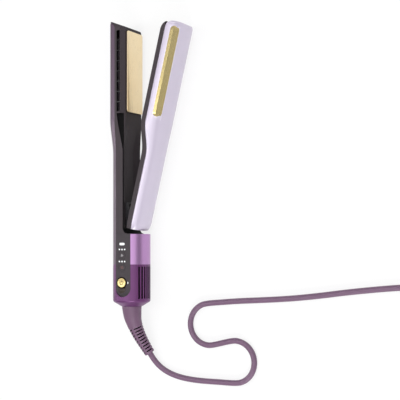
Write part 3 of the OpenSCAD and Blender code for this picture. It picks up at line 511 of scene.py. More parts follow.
def surface_group():
    """Moulded or sprayed surface: cloudy colour, uneven gloss and a fine grain."""
    colour_kind, number = "NodeSocketColor", "NodeSocketFloat"
    group, start, end = node_group("Moulded surface", [
        ("Colour", colour_kind, (0.5, 0.5, 0.5, 1)), ("Shade", colour_kind, (0.4, 0.4, 0.4, 1)),
        ("Cloud size", number, CLOUD_SIZE), ("Grain size", number, GRAIN_SIZE),
        ("Gloss low", number, 0.3), ("Gloss high", number, 0.4)],
        [("Colour", colour_kind), ("Roughness", number), ("Height", number)])
    cloud = noise(group, (start, "Cloud size"), 3.0)
    mixed = blend_colour(group, cloud, (start, "Colour"), (start, "Shade"))
    wire(group, *mixed, end, "Colour")
    uneven_gloss(group, start, end, cloud)
    grain = noise(group, (start, "Grain size"), 1.0)
    wire(group, *grain, end, "Height")


def brushed_group():
    """Fine lines along the arms, for coated and plated metal."""
    colour_kind, number = "NodeSocketColor", "NodeSocketFloat"
    group, start, end = node_group("Brushed lines", [
        ("Colour", colour_kind, (0.5, 0.5, 0.5, 1)), ("Shade", colour_kind, (0.4, 0.4, 0.4, 1)),
        ("Line size", number, LINE_SIZE), ("Gloss low", number, 0.2),
        ("Gloss high", number, 0.3)],
        [("Colour", colour_kind), ("Roughness", number), ("Height", number)])
    lines = noise(group, (start, "Line size"), 2.0, (1, 0.03, 1))
    cloud = noise(group, STAIN_SIZE, 2.0)
    mixed = blend_colour(group, cloud, (start, "Colour"), (start, "Shade"))
    wire(group, *mixed, end, "Colour")
    uneven_gloss(group, start, end, lines)
    wire(group, *lines, end, "Height")


def edge_highlight_group():
    """Colour that turns to the edge colour, a painted highlight, on sharp edges, broken up by
    noise.
    """
    colour_kind, number = "NodeSocketColor", "NodeSocketFloat"
    group, start, end = node_group("Edge light", [
        ("Colour", colour_kind, (0.5, 0.5, 0.5, 1)), ("Edge", colour_kind, (0.7, 0.7, 0.7, 1)),
        ("Amount", number, 0.5)], [("Colour", colour_kind)])
    geometry = group.nodes.new("ShaderNodeNewGeometry")
    ramp = group.nodes.new("ShaderNodeMapRange")
    wire(group, geometry, "Pointiness", ramp, "Value")
    ramp.inputs["From Min"].default_value, ramp.inputs["From Max"].default_value = HIGHLIGHT_RANGE
    breakup = noise(group, EDGE_BREAKUP_SIZE, 4.0)
    broken = math_node(group, "MULTIPLY", (ramp, 0), breakup)
    highlight_mask = math_node(group, "MULTIPLY", broken, (start, "Amount"), True)
    mixed = blend_colour(group, highlight_mask, (start, "Colour"), (start, "Edge"))
    wire(group, *mixed, end, "Colour")


def make_material(name, slot, code, shade, edge=None, *, gloss, brushed=False, size=None,
                  grain=0.0, **shader):
    """Material whose colour, gloss and grain come from the shared groups."""
    material = bpy.data.materials.new(name)
    material.use_nodes = True
    tree = material.node_tree
    bsdf = tree.nodes["Principled BSDF"]
    surface = tree.nodes.new("ShaderNodeGroup")
    surface.node_tree = bpy.data.node_groups["Brushed lines" if brushed else "Moulded surface"]
    surface.inputs["Colour"].default_value = paint(code) if isinstance(code, str) else code
    surface.inputs["Shade"].default_value = paint(shade)
    surface.inputs["Gloss low"].default_value = gloss[0]
    surface.inputs["Gloss high"].default_value = gloss[1]
    if size:
        surface.inputs["Line size" if brushed else "Grain size"].default_value = size
    out = surface
    # A given edge colour is a painted highlight on the sharp edges.
    if edge:
        out = tree.nodes.new("ShaderNodeGroup")
        out.node_tree = bpy.data.node_groups["Edge light"]
        out.inputs["Edge"].default_value = paint(edge)
        out.inputs["Amount"].default_value = HIGHLIGHT_AMOUNT
        wire(tree, surface, "Colour", out, "Colour")
    wire(tree, out, "Colour", bsdf, "Base Color")
    wire(tree, surface, "Roughness", bsdf, "Roughness")
    if grain:
        bump = tree.nodes.new("ShaderNodeBump")
        bump.inputs["Strength"].default_value = grain
        bump.inputs["Distance"].default_value = GRAIN_HEIGHT
        wire(tree, surface, "Height", bump, "Height")
        wire(tree, bump, "Normal", bsdf, "Normal")
    for key, value in shader.items():
        bsdf.inputs[key.replace("_", " ").title().replace("Ior", "IOR")].default_value = value
    MATERIALS[name] = material


def finishes():
    """Every finish of the straightener, and the ones that the plain CAD pieces wear."""
    c = bpy.context.scene.straightener.finish
    surface_group()
    brushed_group()
    edge_highlight_group()
    make_material("mauve_shell", "mauve_shell", c.shell, "564556", gloss=(0.3, 0.36),
                  grain=0.05, metallic=0.15, coat_weight=0.1, coat_roughness=0.2)
    make_material("dark_core", "dark_plastic", c.core, "433d40", gloss=(0.42, 0.52),
                  grain=0.12, specular_ior_level=0.1)
    make_material("dark_panel", "dark_plastic", c.core, "403c3f", gloss=(0.4, 0.48),
                  grain=0.08, specular_ior_level=0.12)
    # Black of the dressed inner parts and the power ring; on the cut walls of recesses it is
    # painted shade.
    make_material("black_and_painted_shade", "black_plastic", "070607", "0a090a", gloss=(0.6, 0.7),
                  specular_ior_level=0.1)
    make_material("gloss_black", "black_plastic", "131215", "1a191c", gloss=(0.18, 0.25))
    make_material("satin_purple", "satin_sleeve", c.sleeve, "b389ba",
                  gloss=(0.3, 0.33), grain=0.01, metallic=0.75)
    make_material("plum", "plum_plastic", c.housing, "643666", gloss=(0.34, 0.4),
                  grain=0.06, metallic=0.35)
    # Its edge colour f3eff7 is a painted highlight along the lever's edges.
    make_material("lilac", "lilac_shell", c.lever, "c8bfd2", "f3eff7", gloss=(0.28, 0.34),
                  grain=0.05, metallic=0.1, coat_weight=0.5, coat_roughness=0.16)
    make_material("champagne", "gold_plate", c.plate, "f0d8aa", brushed=True, gloss=(0.24, 0.34),
                  size=1400, grain=0.06, metallic=0.75)
    # Its edge colour fff0c0 is a painted highlight on the bar's edges.
    make_material("pale_gold", "gold_trim", c.accent, "dcc788", "fff0c0", brushed=True,
                  gloss=(0.2, 0.26), grain=0.03, metallic=0.8)
    make_material("gold_button", "gold_button", c.button, "d3bc7a", gloss=(0.24, 0.3),
                  grain=0.03, metallic=0.6)
    make_material("window_white", "light_white", "f4f6f7", "e9edf0", gloss=(0.25, 0.3))
    make_material("sign_grey", "light_white", "8d898d", "858185", gloss=(0.4, 0.45))
    make_material("sign_red", "light_white", "7c4846", "6f403f", gloss=(0.4, 0.45))
    make_material("sign_olive", "black_plastic", "54431a", "4a3a14", gloss=(0.4, 0.45))
    make_material("steel", "steel", "c4c5c8", "b4b6ba", brushed=True, gloss=(0.22, 0.34),
                  grain=0.08, metallic=1.0)
    make_material("board_green", "board_green", "1c5a34", "174a2b", gloss=(0.35, 0.45))
    make_material("copper_wire", "heater_tan", "b7865e", "a8764f", brushed=True,
                  gloss=(0.3, 0.4), metallic=0.9)
    make_material("carrier_brown", "brown_carrier", "34261f", "2b1f19", gloss=(0.5, 0.6),
                  grain=0.15)
    make_material("heater_ceramic", "heater_tan", "cdb48d", "bfa57c", gloss=(0.6, 0.75),
                  grain=0.2)
    make_material("soft_pad", "silicone", "c9c8c4", "bdbcb8", gloss=(0.55, 0.65), grain=0.1)
    # Its edge colour 86688a is a painted highlight on the cord's sharp edges.
    make_material("cord_rubber", "cord_plum", c.cord, "695066", "86688a", gloss=(0.42, 0.52),
                  size=1800, grain=0.18)
    make_material("fan_grey", "black_plastic", "4a484c", "3f3d41", gloss=(0.4, 0.5), grain=0.1)
    dress = {
        "black_and_painted_shade": ("filter_screen", "motor_mount", "bracket_screws"),
        "steel": ("fan_motor", "tact_switches", "hinge_pin", "lever_screws"),
        "fan_grey": ("impeller", "air_duct", "hinge_bracket", "hinge_knuckle"),
        "board_green": ("circuit_board",),
        "copper_wire": ("air_heater",), "carrier_brown": ("main_carrier", "lever_carrier"),
        "heater_ceramic": ("main_heater", "lever_heater"),
        "soft_pad": ("main_plate_pads", "lever_plate_pads")}
    for finish, names in dress.items():
        for name in names:
            slots = frame["nodes"][name].data.materials
            slots.clear()
            slots.append(MATERIALS[finish])


# sections of the arms

# Gap between pieces of the handle that meet, and the gap round each plate
CLEAR, WINDOW_GAP = 0.05, 0.3
# Chamfer at the trough's edge
TROUGH_CHAMFER = 1.2
# Length of the lever's drawn in lower end, and what it loses in depth and at each side
TAIL_LEN, TAIL_DEPTH, TAIL_SIDE = 9, 2.4, 1.2
# Height and inset of the slope along the lever's parting line
SLOPE_H, SLOPE_IN = 1.7, 0.55

def super_point(a, depth, half, power):
    """Point of a superellipse, its angle in degrees from the outside."""
    c, s = max(cos(radians(a)), 0), sin(radians(a))
    side = half * abs(s) ** (2 / power)
    return depth * c ** (2 / power), side if s > 0 else -side


def neck(s, y):
    """0 on the grip, 1 on the head."""
    return ease((y - s.neck_y) / s.neck_len)


def arm_out(s, a, k, t=0.0, inset=0.0):
    """Outside of the fixed arm's shell, its wall taken off by t."""
    r = s.handle_r - t
    e = acos(s.band_x / r) * a / 90
    p = mix((r * cos(e) - s.band_x, r * sin(e)),
            super_point(a, s.head_depth - t, s.head_hw - t, 3), k)
    return -s.band_x - p[0] + inset * 0.06, p[1] * (1 - inset / s.head_hw)


def tail(s, y):
    """How far the lever's lower end is drawn in."""
    return 0 if y > s.lever_y0 + TAIL_LEN else (1 - (y - s.lever_y0) / TAIL_LEN) ** 2


def lever_part(s, y):
    """Parting line between the lever's shell and its tray."""
    return mix(s.grip_x, s.lever_x, neck(s, y))


def drawn_in(s, points, y):
    """Section of the lever's shell with a slope along the parting line."""
    p, rim = lever_part(s, y), []
    for x, z in points:
        d = SLOPE_IN * max(0, 1 - (x - p) / SLOPE_H)
        rim.append((x, z - d if z > 0 else z + d))
    return rim


def lever_out(s, a, y, t=0.0, inset=0.0):
    """Outside of the lever's shell, its wall taken off by t."""
    k = neck(s, y)
    depth = mix(s.grip_depth - TAIL_DEPTH * tail(s, y), s.lever_depth, k) - t
    half = mix(s.grip_hw - TAIL_SIDE * tail(s, y), s.head_hw, k) - t
    x, z = super_point(a, depth, half, mix(2.5, 3, k))
    return lever_part(s, y) + x - inset * 0.25, z * (1 - inset / s.head_hw)


SIDE = steps(90, -90, 48)
FINE_SIDE = [90, 89.4, 88, *steps(86, -86, 46), -88, -89.4, -90]


def neck_rows(s, n=22):
    """Stations along the neck."""
    return steps(s.neck_y, s.neck_y + s.neck_len, n)


def tip_rows(r, n=8):
    """Drop and inset of each ring of a rounded tip."""
    return [(r * (1 - sin(a)), r * (1 - cos(a))) for a in steps(0, pi / 2, n)]


def slanted(s, points, drop):
    """Section whose points lie on the slanted tip plane."""
    return [(x, s.tip_y + (s.plate_x - x) * tan(s.tip_slant) - drop, z) for x, z in points]


def shell_side(s, x0, y0):
    """Block with the outline of the fixed arm's shell seen from above."""
    end, r = s.tip_y - 0.7, 8
    outline = ([(x0, y0), (x0, end)] + arc((-s.band_x - r, end), r, 0, 90, 24)
               + [(-60, end + r), (-60, y0)])
    return slab("shell side", outline, -40, 40)


def core_section(s, k, inset=0.0, round_back=False):
    """Outline of the fixed arm's dark core."""
    half = []
    edge_z = s.band_z - TROUGH_CHAMFER
    for z in steps(edge_z, 0, 14):
        u = z / edge_z
        hollow = s.grip_edge - s.trough * min(1, 0.04 + 2.1 * (1 - u))
        half.append(mix((hollow, z), (s.rim_x, s.rim_hw * z / edge_z), k))
    front = [mix((-s.band_x, s.band_z), (-s.band_x, s.head_hw), k),
             mix((s.grip_edge - TROUGH_CHAMFER, s.band_z), (s.cham_x, s.head_hw), k)]
    half = front + half
    points = half + [(x, -z) for x, z in half[-2::-1]]
    points = [(x, z * (1 - inset / s.head_hw)) for x, z in points]
    w = points[0][1]
    back = []
    for a in SIDE[::-1]:
        if abs(a) < 89:
            back.append(arm_out(s, a, k, 0, inset) if round_back
                        else (-s.band_x, w * sin(radians(a))))
    return points + back


def tray_section(s, y, inset=0.0):
    """Outline of the lever's dark tray."""
    k = neck(s, y)
    w = mix(s.grip_hw - TAIL_SIDE * tail(s, y), s.head_hw, k)
    edge, floor = mix(s.inner_x, s.skirt_x, k), mix(s.inner_x, s.lever_floor, k)
    p = lever_part(s, y)
    front = [(p, w), (edge, w), (edge, w - s.skirt_t),
             (mix(edge, 3.2, k), mix(w - 3.2, w - 2.4, k)), (floor, mix(w - 4.2, w - 4, k))]
    u, v = (p, w - s.wall - 0.1), (mix(p - 1.4, p + 1.6, k), w - s.wall - 0.3)
    back = [u, mix(u, v, 0.3), mix(u, v, 0.6), v, (floor + 2.4, w - s.wall - 0.6)]
    mirror = [(x, -z) for x, z in front[::-1]] + [(x, -z) for x, z in back]
    points = front + [(floor, 0)] + mirror + [(floor + 2.4, 0)] + back[::-1]
    return [(x, z * (1 - inset / s.head_hw)) for x, z in points]


def lever_side(s, x, corner):
    """Block with the lever's outline seen from above, its corners rounded."""
    y1, r = s.lever_y1, 3
    outline = ([(x - 0.2, 0), (x - 0.2, y1 - corner)] + arc((x + corner, y1 - corner), corner,
               180, 90, 20) + arc((s.outer_x - r, y1 - r), r, 90, 0, 14)
               + [(s.outer_x + 3, s.neck_y + 4), (s.outer_x + 3, 0)])
    return slab("lever side", outline, -40, 40)


def plate_window(s, x, depth):
    """Block that opens the window for a plate."""
    ob = slab("window", pill(0, 0, 2 * (s.plate_hw + WINDOW_GAP),
                              s.plate_len + 2 * WINDOW_GAP, 2.5), 0, depth)
    ob.data.transform(Matrix.Translation((x, s.plate_y0 + s.plate_len / 2, 0))
                      @ Matrix.Rotation(pi / 2, 4, "Y"))
    return ob


def black(ob):
    """Cutter whose cut faces come out black, as painted shade in the recess it leaves."""
    ob.data.materials.clear()
    ob.data.materials.append(MATERIALS["black_and_painted_shade"])
    return ob


# pieces


# Name, place, width and height in metres, and power in watts; every lamp points at the origin
LAMPS = (("key", (0.5, 0.0, 1.5), 1.2, 2.4, 9.5),
         ("front", (0.4, -1.15, 0.7), 0.8, 0.4, 10.0),
         ("side", (-0.75, 0.0, 1.18), 0.55, 2.4, 7.0),
         ("rim", (-1.2, 0.0, 0.62), 0.14, 2.4, 4.0),
         ("back", (0.3, 1.2, 0.8), 0.8, 0.4, 6.0))
# Camera fitted to the photograph: place in millimetres, tilt in degrees, lens and shift
CAMERA_PLACE, CAMERA_TILT, CAMERA_LENS, CAMERA_SHIFT = (588.6, 61.6, 979), 27.25, 93.24, 0.125
# Strength of the world's light at the horizon and overhead, and how high overhead begins
WORLD_LOW, WORLD_HIGH, WORLD_RISE = 0.08, 0.40, 0.8
# Part of the floor that glows towards the camera, and how far the floor lies below zero
FLOOR_GLOW, FLOOR_DROP = 0.8, 0.0003


class STRAIGHTENER_OT_stage(bpy.types.Operator):
    """Pale floor, soft studio light and the camera"""
    bl_idname = "straightener.stage"
    bl_label = "Stage"

    def execute(self, context):
        """Builds the stage"""
        deselect()
        bpy.ops.mesh.primitive_plane_add(size=8, location=(0, 0, -FLOOR_DROP))
        floor = started("studio_floor")
        material = bpy.data.materials.new("pale_floor")
        material.use_nodes = True
        tree = material.node_tree
        bsdf = tree.nodes["Principled BSDF"]
        bsdf.inputs["Base Color"].default_value = context.scene.straightener.finish.floor
        bsdf.inputs["Roughness"].default_value = 0.9
        bsdf.inputs["Specular IOR Level"].default_value = 0.1
        glow = tree.nodes.new("ShaderNodeEmission")
        mixer = tree.nodes.new("ShaderNodeMixShader")
        rays = tree.nodes.new("ShaderNodeLightPath")
        seen = math_node(tree, "ADD", (rays, "Is Camera Ray"), (rays, "Is Glossy Ray"), True)
        seen = math_node(tree, "ADD", seen, (rays, "Is Transmission Ray"), True)
        part = math_node(tree, "MULTIPLY", seen, FLOOR_GLOW)
        wire(tree, part[0], 0, mixer, 0)
        wire(tree, bsdf, 0, mixer, 1)
        wire(tree, glow, 0, mixer, 2)
        wire(tree, mixer, 0, tree.nodes["Material Output"], 0)
        floor.data.materials.append(material)
        world = bpy.data.worlds.new("studio")
        world.use_nodes = True
        tree = world.node_tree
        background = tree.nodes["Background"]
        direction = tree.nodes.new("ShaderNodeTexCoord")
        split = tree.nodes.new("ShaderNodeSeparateXYZ")
        ramp = tree.nodes.new("ShaderNodeMapRange")
        wire(tree, direction, "Generated", split, 0)
        wire(tree, split, "Z", ramp, "Value")
        ramp.inputs["From Max"].default_value = WORLD_RISE
        ramp.inputs["To Min"].default_value = WORLD_LOW
        ramp.inputs["To Max"].default_value = WORLD_HIGH
        wire(tree, ramp, 0, background, "Strength")
        background.inputs["Color"].default_value = (1, 1, 1, 1)
        context.scene.world = world
        for name, place, wide, high, power in LAMPS:
            lamp = bpy.data.lights.new(name, "AREA")
            lamp.shape, lamp.size, lamp.size_y, lamp.energy = "RECTANGLE", wide, high, power
            ob = bpy.data.objects.new(name, lamp)
            ob.location = place
            ob.rotation_euler = (-Vector(place)).to_track_quat("-Z", "Y").to_euler()
            context.scene.collection.objects.link(ob)
        view = bpy.data.cameras.new("camera")
        view.sensor_width, view.lens, view.shift_y = 36, CAMERA_LENS, CAMERA_SHIFT
        view.clip_start, view.clip_end = 0.05, 20
        ob = bpy.data.objects.new("camera", view)
        ob.location = CLOSED @ Vector(CAMERA_PLACE)
        ob.rotation_euler = (0, radians(CAMERA_TILT), 0)
        context.scene.collection.objects.link(ob)
        context.scene.camera = ob
        context.scene.view_settings.view_transform = "Standard"
        return {"FINISHED"}


def smooth_path(points, per=6):
    """Round line through points, per steps between neighbours."""
    line = []
    last = len(points) - 1
    for i in range(last):
        a, b = points[max(i - 1, 0)], points[i]
        c, d = points[i + 1], points[min(i + 2, last)]
        for j in range(per):
            u = j / per
            line.append(tuple(0.5 * (2 * q + (r - p) * u + (2 * p - 5 * q + 4 * r - w) * u * u
                                     + (3 * q - p - 3 * r + w) * u ** 3)
                              for p, q, r, w in zip(a, b, c, d)))
    return line + [tuple(points[-1])]


# The cord's two bends on the floor, and its way before and after them; a height of -18 stands
# for lying on the floor
BEND_R, ON_FLOOR = 22.5, -18
BENDS = (((117, -57.5), -90, 103), ((86, -18.5), 283, 95))
CORD_START = [(15, -52, -13.6), (19.2, -59.4, -15.8), (25, -66, -17.2), (33, -71.4, -18),
              (44, -75.6, -18), (58, -78.4, -18), (76, -79.8, -18), (97, -80, -18)]
CORD_END = [(104, 5.9, -18), (122, 7.4, -18), (142, 8.6, -18), (164, 10, -18), (188, 12, -18),
            (214, 15, -18), (240, 18.5, -18), (266, 21.5, -18), (292, 24, -18),
            (314, 25.2, -17.6), (336, 25.5, -17.1), (356, 25.5, -17)]
COIL_TOP = (362, 25.5)
# Height of the plug's middle above the floor
PLUG_H = 8.2


def coil_sizes(s):
    """Middle, inner radius and heights of the coil's two layers."""
    low = s.tie_t + 0.3 + s.cord_d / 2 - s.head_hw
    return (COIL_TOP[0], COIL_TOP[1] - s.coil_r, s.coil_r - s.coil_pitch * s.coil_turns, low,
            low + s.coil_pitch)


def coil_point(s, a):
    """Point of the coil at an angle in degrees from where the cord comes in."""
    x, y, inner, low, high = coil_sizes(s)
    half = 360 * s.coil_turns
    r = inner + s.coil_pitch * abs(half - a) / 360
    return (x + r * cos(radians(90 - a)), y + r * sin(radians(90 - a)),
            mix(low, high, ease((a - half + 90) / 180)))


def cord_route(s):
    """The cord's middle line from the strain relief to the plug."""
    rest = 0.05 + s.cord_d / 2 - s.head_hw
    bends = [(x, y, ON_FLOOR) for middle, a0, a1 in BENDS
             for x, y in arc(middle, BEND_R, a0, a1, 8)]
    points = CORD_START + bends + CORD_END
    route = smooth_path([(x, y, rest if z == ON_FLOOR else z) for x, y, z in points], 5)
    whole = 720 * s.coil_turns
    route += [coil_point(s, a) for a in steps(0, whole, int(whole / 7.5))]
    end, before = Vector(coil_point(s, whole)), Vector(coil_point(s, whole - 6))
    way = (end - before).normalized()
    lead = [end]
    for d in (8, 16, 26, 36, 42):
        p = end + way * d
        p.z = mix(coil_sizes(s)[4], PLUG_H - s.head_hw, ease((d - 4) / 30))
        lead.append(p)
    return route + smooth_path([tuple(p) for p in lead], 5)[1:], way


# Middle line of the strain relief, and its radius at each of those points
RELIEF_LINE = [(0, 6, 0), (0, -1, 0), (0.6, -11, -0.8), (1.9, -18, -1.8), (3.8, -25, -3.6),
               (6.1, -32, -5.8), (8.9, -39, -8.4), (12, -46, -11.2), (15, -52, -13.6)]
RELIEF_R = [10.8, 10.8, 9.8, 8.6, 7.8, 7.2, 6.6, 6.1, 5.7]
# Rings of slots in it: number, first one and step along the points, and depth
FLUTES, FLUTE_START, FLUTE_STEP, FLUTE_DEPTH = 9, 3.7, 0.45, 1.7


def fluted(r):
    """Radius by angle that dips into four slots."""
    return lambda a: r - (FLUTE_DEPTH if abs(a % 90 - 45) < 32 else 0)


def tube_rings(points, radii, sides):
    """Rings square to a line of points; a radius may be a number or a function of the angle."""
    rings, up = [], Vector((0, 0, 1))
    for i, p in enumerate(points):
        ahead = Vector(points[min(i + 1, len(points) - 1)]) - Vector(points[max(i - 1, 0)])
        ahead.normalize()
        up = (up - ahead * up.dot(ahead)).normalized()
        side = ahead.cross(up)
        circle = []
        for j in range(sides):
            a = 360 * j / sides
            r = radii[i](a) if callable(radii[i]) else radii[i]
            circle.append(tuple(Vector(p) + r * (cos(radians(a)) * up + sin(radians(a)) * side)))
        rings.append(circle)
    return rings


class STRAIGHTENER_OT_cord(bpy.types.Operator):
    """Strain relief, mains cord with its coil, tie and plug"""
    bl_idname = "straightener.cord"
    bl_label = "Cord and plug"

    def execute(self, context):
        """Builds the cord and what is on it"""
        s = sizes()
        boot = self.relief(s)
        route, way = cord_route(s)
        line = [CLOSED @ Vector(p) for p in route]
        curve = bpy.data.curves.new("mains_cord", "CURVE")
        curve.dimensions, curve.bevel_depth, curve.bevel_resolution = "3D", s.cord_d / 2000, 6
        curve.use_fill_caps = True
        spline = curve.splines.new("POLY")
        spline.points.add(len(line) - 1)
        spline.points.foreach_set("co", [c for p in line for c in (*p, 1)])
        spline.use_smooth = True
        ob = bpy.data.objects.new("mains_cord", curve)
        context.scene.collection.objects.link(ob)
        curve.materials.append(MATERIALS["cord_rubber"])
        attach(ob, "handle")
        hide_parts("cord", "cord_coil")
        tie, plug, pins = self.tie(s), *self.plug(s, Vector(route[-1]), way)
        return {"FINISHED"}

    def relief(self, s):
        """Bent taper with rings of short slots, held in the end cap by a groove"""
        per = 40
        smooth = smooth_path(RELIEF_LINE, per)

        def at(t):
            """Point of the middle line"""
            return smooth[min(round(t * per), len(smooth) - 1)]

        def radius(t):
            """Radius at that point"""
            i = min(int(t), len(RELIEF_R) - 2)
            return mix(RELIEF_R[i], RELIEF_R[i + 1], t - i)

        root = [(4.8, 9), (3.3, 9), (3.2, s.cap_r - 5.05), (0, s.cap_r - 5.05), (-0.1, 10.5),
                (-0.35, 10.8), (-1, 10.8)]
        rows = [((0, y, 0), r) for y, r in root]
        rows += [(at(t), radius(t)) for t in steps(1.12, 3.6, 10)]
        for i in range(FLUTES):
            for shift, deep in ((0, 0), (0.05, 0), (0.08, 1), (0.2, 1), (0.23, 0), (0.3, 0)):
                t = FLUTE_START + FLUTE_STEP * i + shift
                rows.append((at(t), fluted(radius(t)) if deep else radius(t)))
        rows += [(at(7.9), radius(7.9)), (at(7.97), radius(8) - 0.1), (at(8), radius(8) - 0.5)]
        ob = loft("strain_relief_boot", tube_rings([p for p, r in rows], [r for p, r in rows], 72))
        deep = [(Vector(p), r(0)) for p, r in rows if callable(r)]
        ob.data.materials.append(MATERIALS["cord_rubber"])
        ob.data.materials.append(MATERIALS["black_and_painted_shade"])
        # Faces at the bottom of the slots take the black: painted shade in the slots.
        for face in ob.data.polygons:
            middle, r = min(deep, key=lambda d: (d[0] - face.center).length)
            if face.center.y < -20 and (face.center - middle).length < r - 0.6:
                face.material_index = 1
        soften(ob, 0.12, 40, 1)
        return settle(ob, "handle", "cord_rubber", ["strain_relief"], smooth=35)

    def tie(self, s):
        """Strap that holds the coil's turns together"""
        x, y, inner, _, high = coil_sizes(s)
        w = s.coil_r - inner + s.cord_d + 2.4
        h = high + s.head_hw + s.cord_d / 2 + 0.4
        outer = pill(0, h / 2 + s.tie_t / 2, w + 2 * s.tie_t, h + s.tie_t, 3.6)
        hole = pill(0, h / 2 + s.tie_t / 2, w, h - s.tie_t, 2.8)
        ob = slab("coil_tie", outer, -5, 5)
        cut(ob, [slab("hole", hole, -6, 6)])
        turn = Matrix.Rotation(radians(-135), 4, "Z")
        ob.data.transform(Matrix.Translation((x, y, -s.head_hw)) @ turn
                          @ Matrix.Translation(((s.coil_r + inner) / 2, 0, 0))
                          @ Matrix.Rotation(pi / 2, 4, "X"))
        soften(ob, 0.25)
        return settle(ob, "handle", "gloss_black", ["cord_tie"])

    def plug(self, s, end, way):
        """Moulded plug with two flat blades"""
        place = (Matrix.Translation(end) @ Matrix.Rotation(atan2(way.y, way.x), 4, "Z"))
        neck_r = s.cord_d / 2 + 0.7
        rows = [(0, neck_r, neck_r, 2), (6, 4.2, 4.2, 2),
                (12, 4.7, 4.7, 2), (18, 5.4, 5.4, 2), (19.5, 5.9, 5.6, 2.1), (22, 8.2, 6.6, 2.6),
                (25, 10.6, 7.8, 3.4), (28, 11, 8, 4.5), (36, 11.8, 8, 5), (44, 12.5, 8, 5.5),
                (45.4, 12.4, 7.9, 5.5), (46, 11.9, 7.4, 5.5)]
        rings = []
        for x, half, tall, power in rows:
            circle = []
            for a in steps(0, 352.5, 47):
                c, q = cos(radians(a)), sin(radians(a))
                circle.append((x, half * abs(c) ** (2 / power) * (1 if c > 0 else -1),
                               tall * abs(q) ** (2 / power) * (1 if q > 0 else -1)))
            rings.append(circle)
        body = loft("mains_plug", rings)
        body.data.transform(place)
        settle(body, "handle", "cord_rubber", ["plug_body"])
        blades = []
        for y in (-6.35, 6.35):
            blade = slab("blade", pill(54.5, 0, 17, 6.4, 1.2, 6), y - 0.75, y + 0.75)
            blade.data.transform(Matrix.Rotation(-pi / 2, 4, "X"))
            soften(cut(blade, [round_bar("hole", (58, y, 0), 1.6, 6, "Y", 24)]), 0.2)
            blades.append(blade)
        pins = join("plug_blades", blades)
        pins.data.transform(place)
        return body, settle(pins, "handle", "steel", ["plug_pins"])


# Half width of the air channel, and half length and half width of the hinge's seat
CHANNEL_Z, SEAT_Y, SEAT_Z = 14.5, 12.1, 7.1
# Width of the groove along the trough
GROOVE_W = 0.85


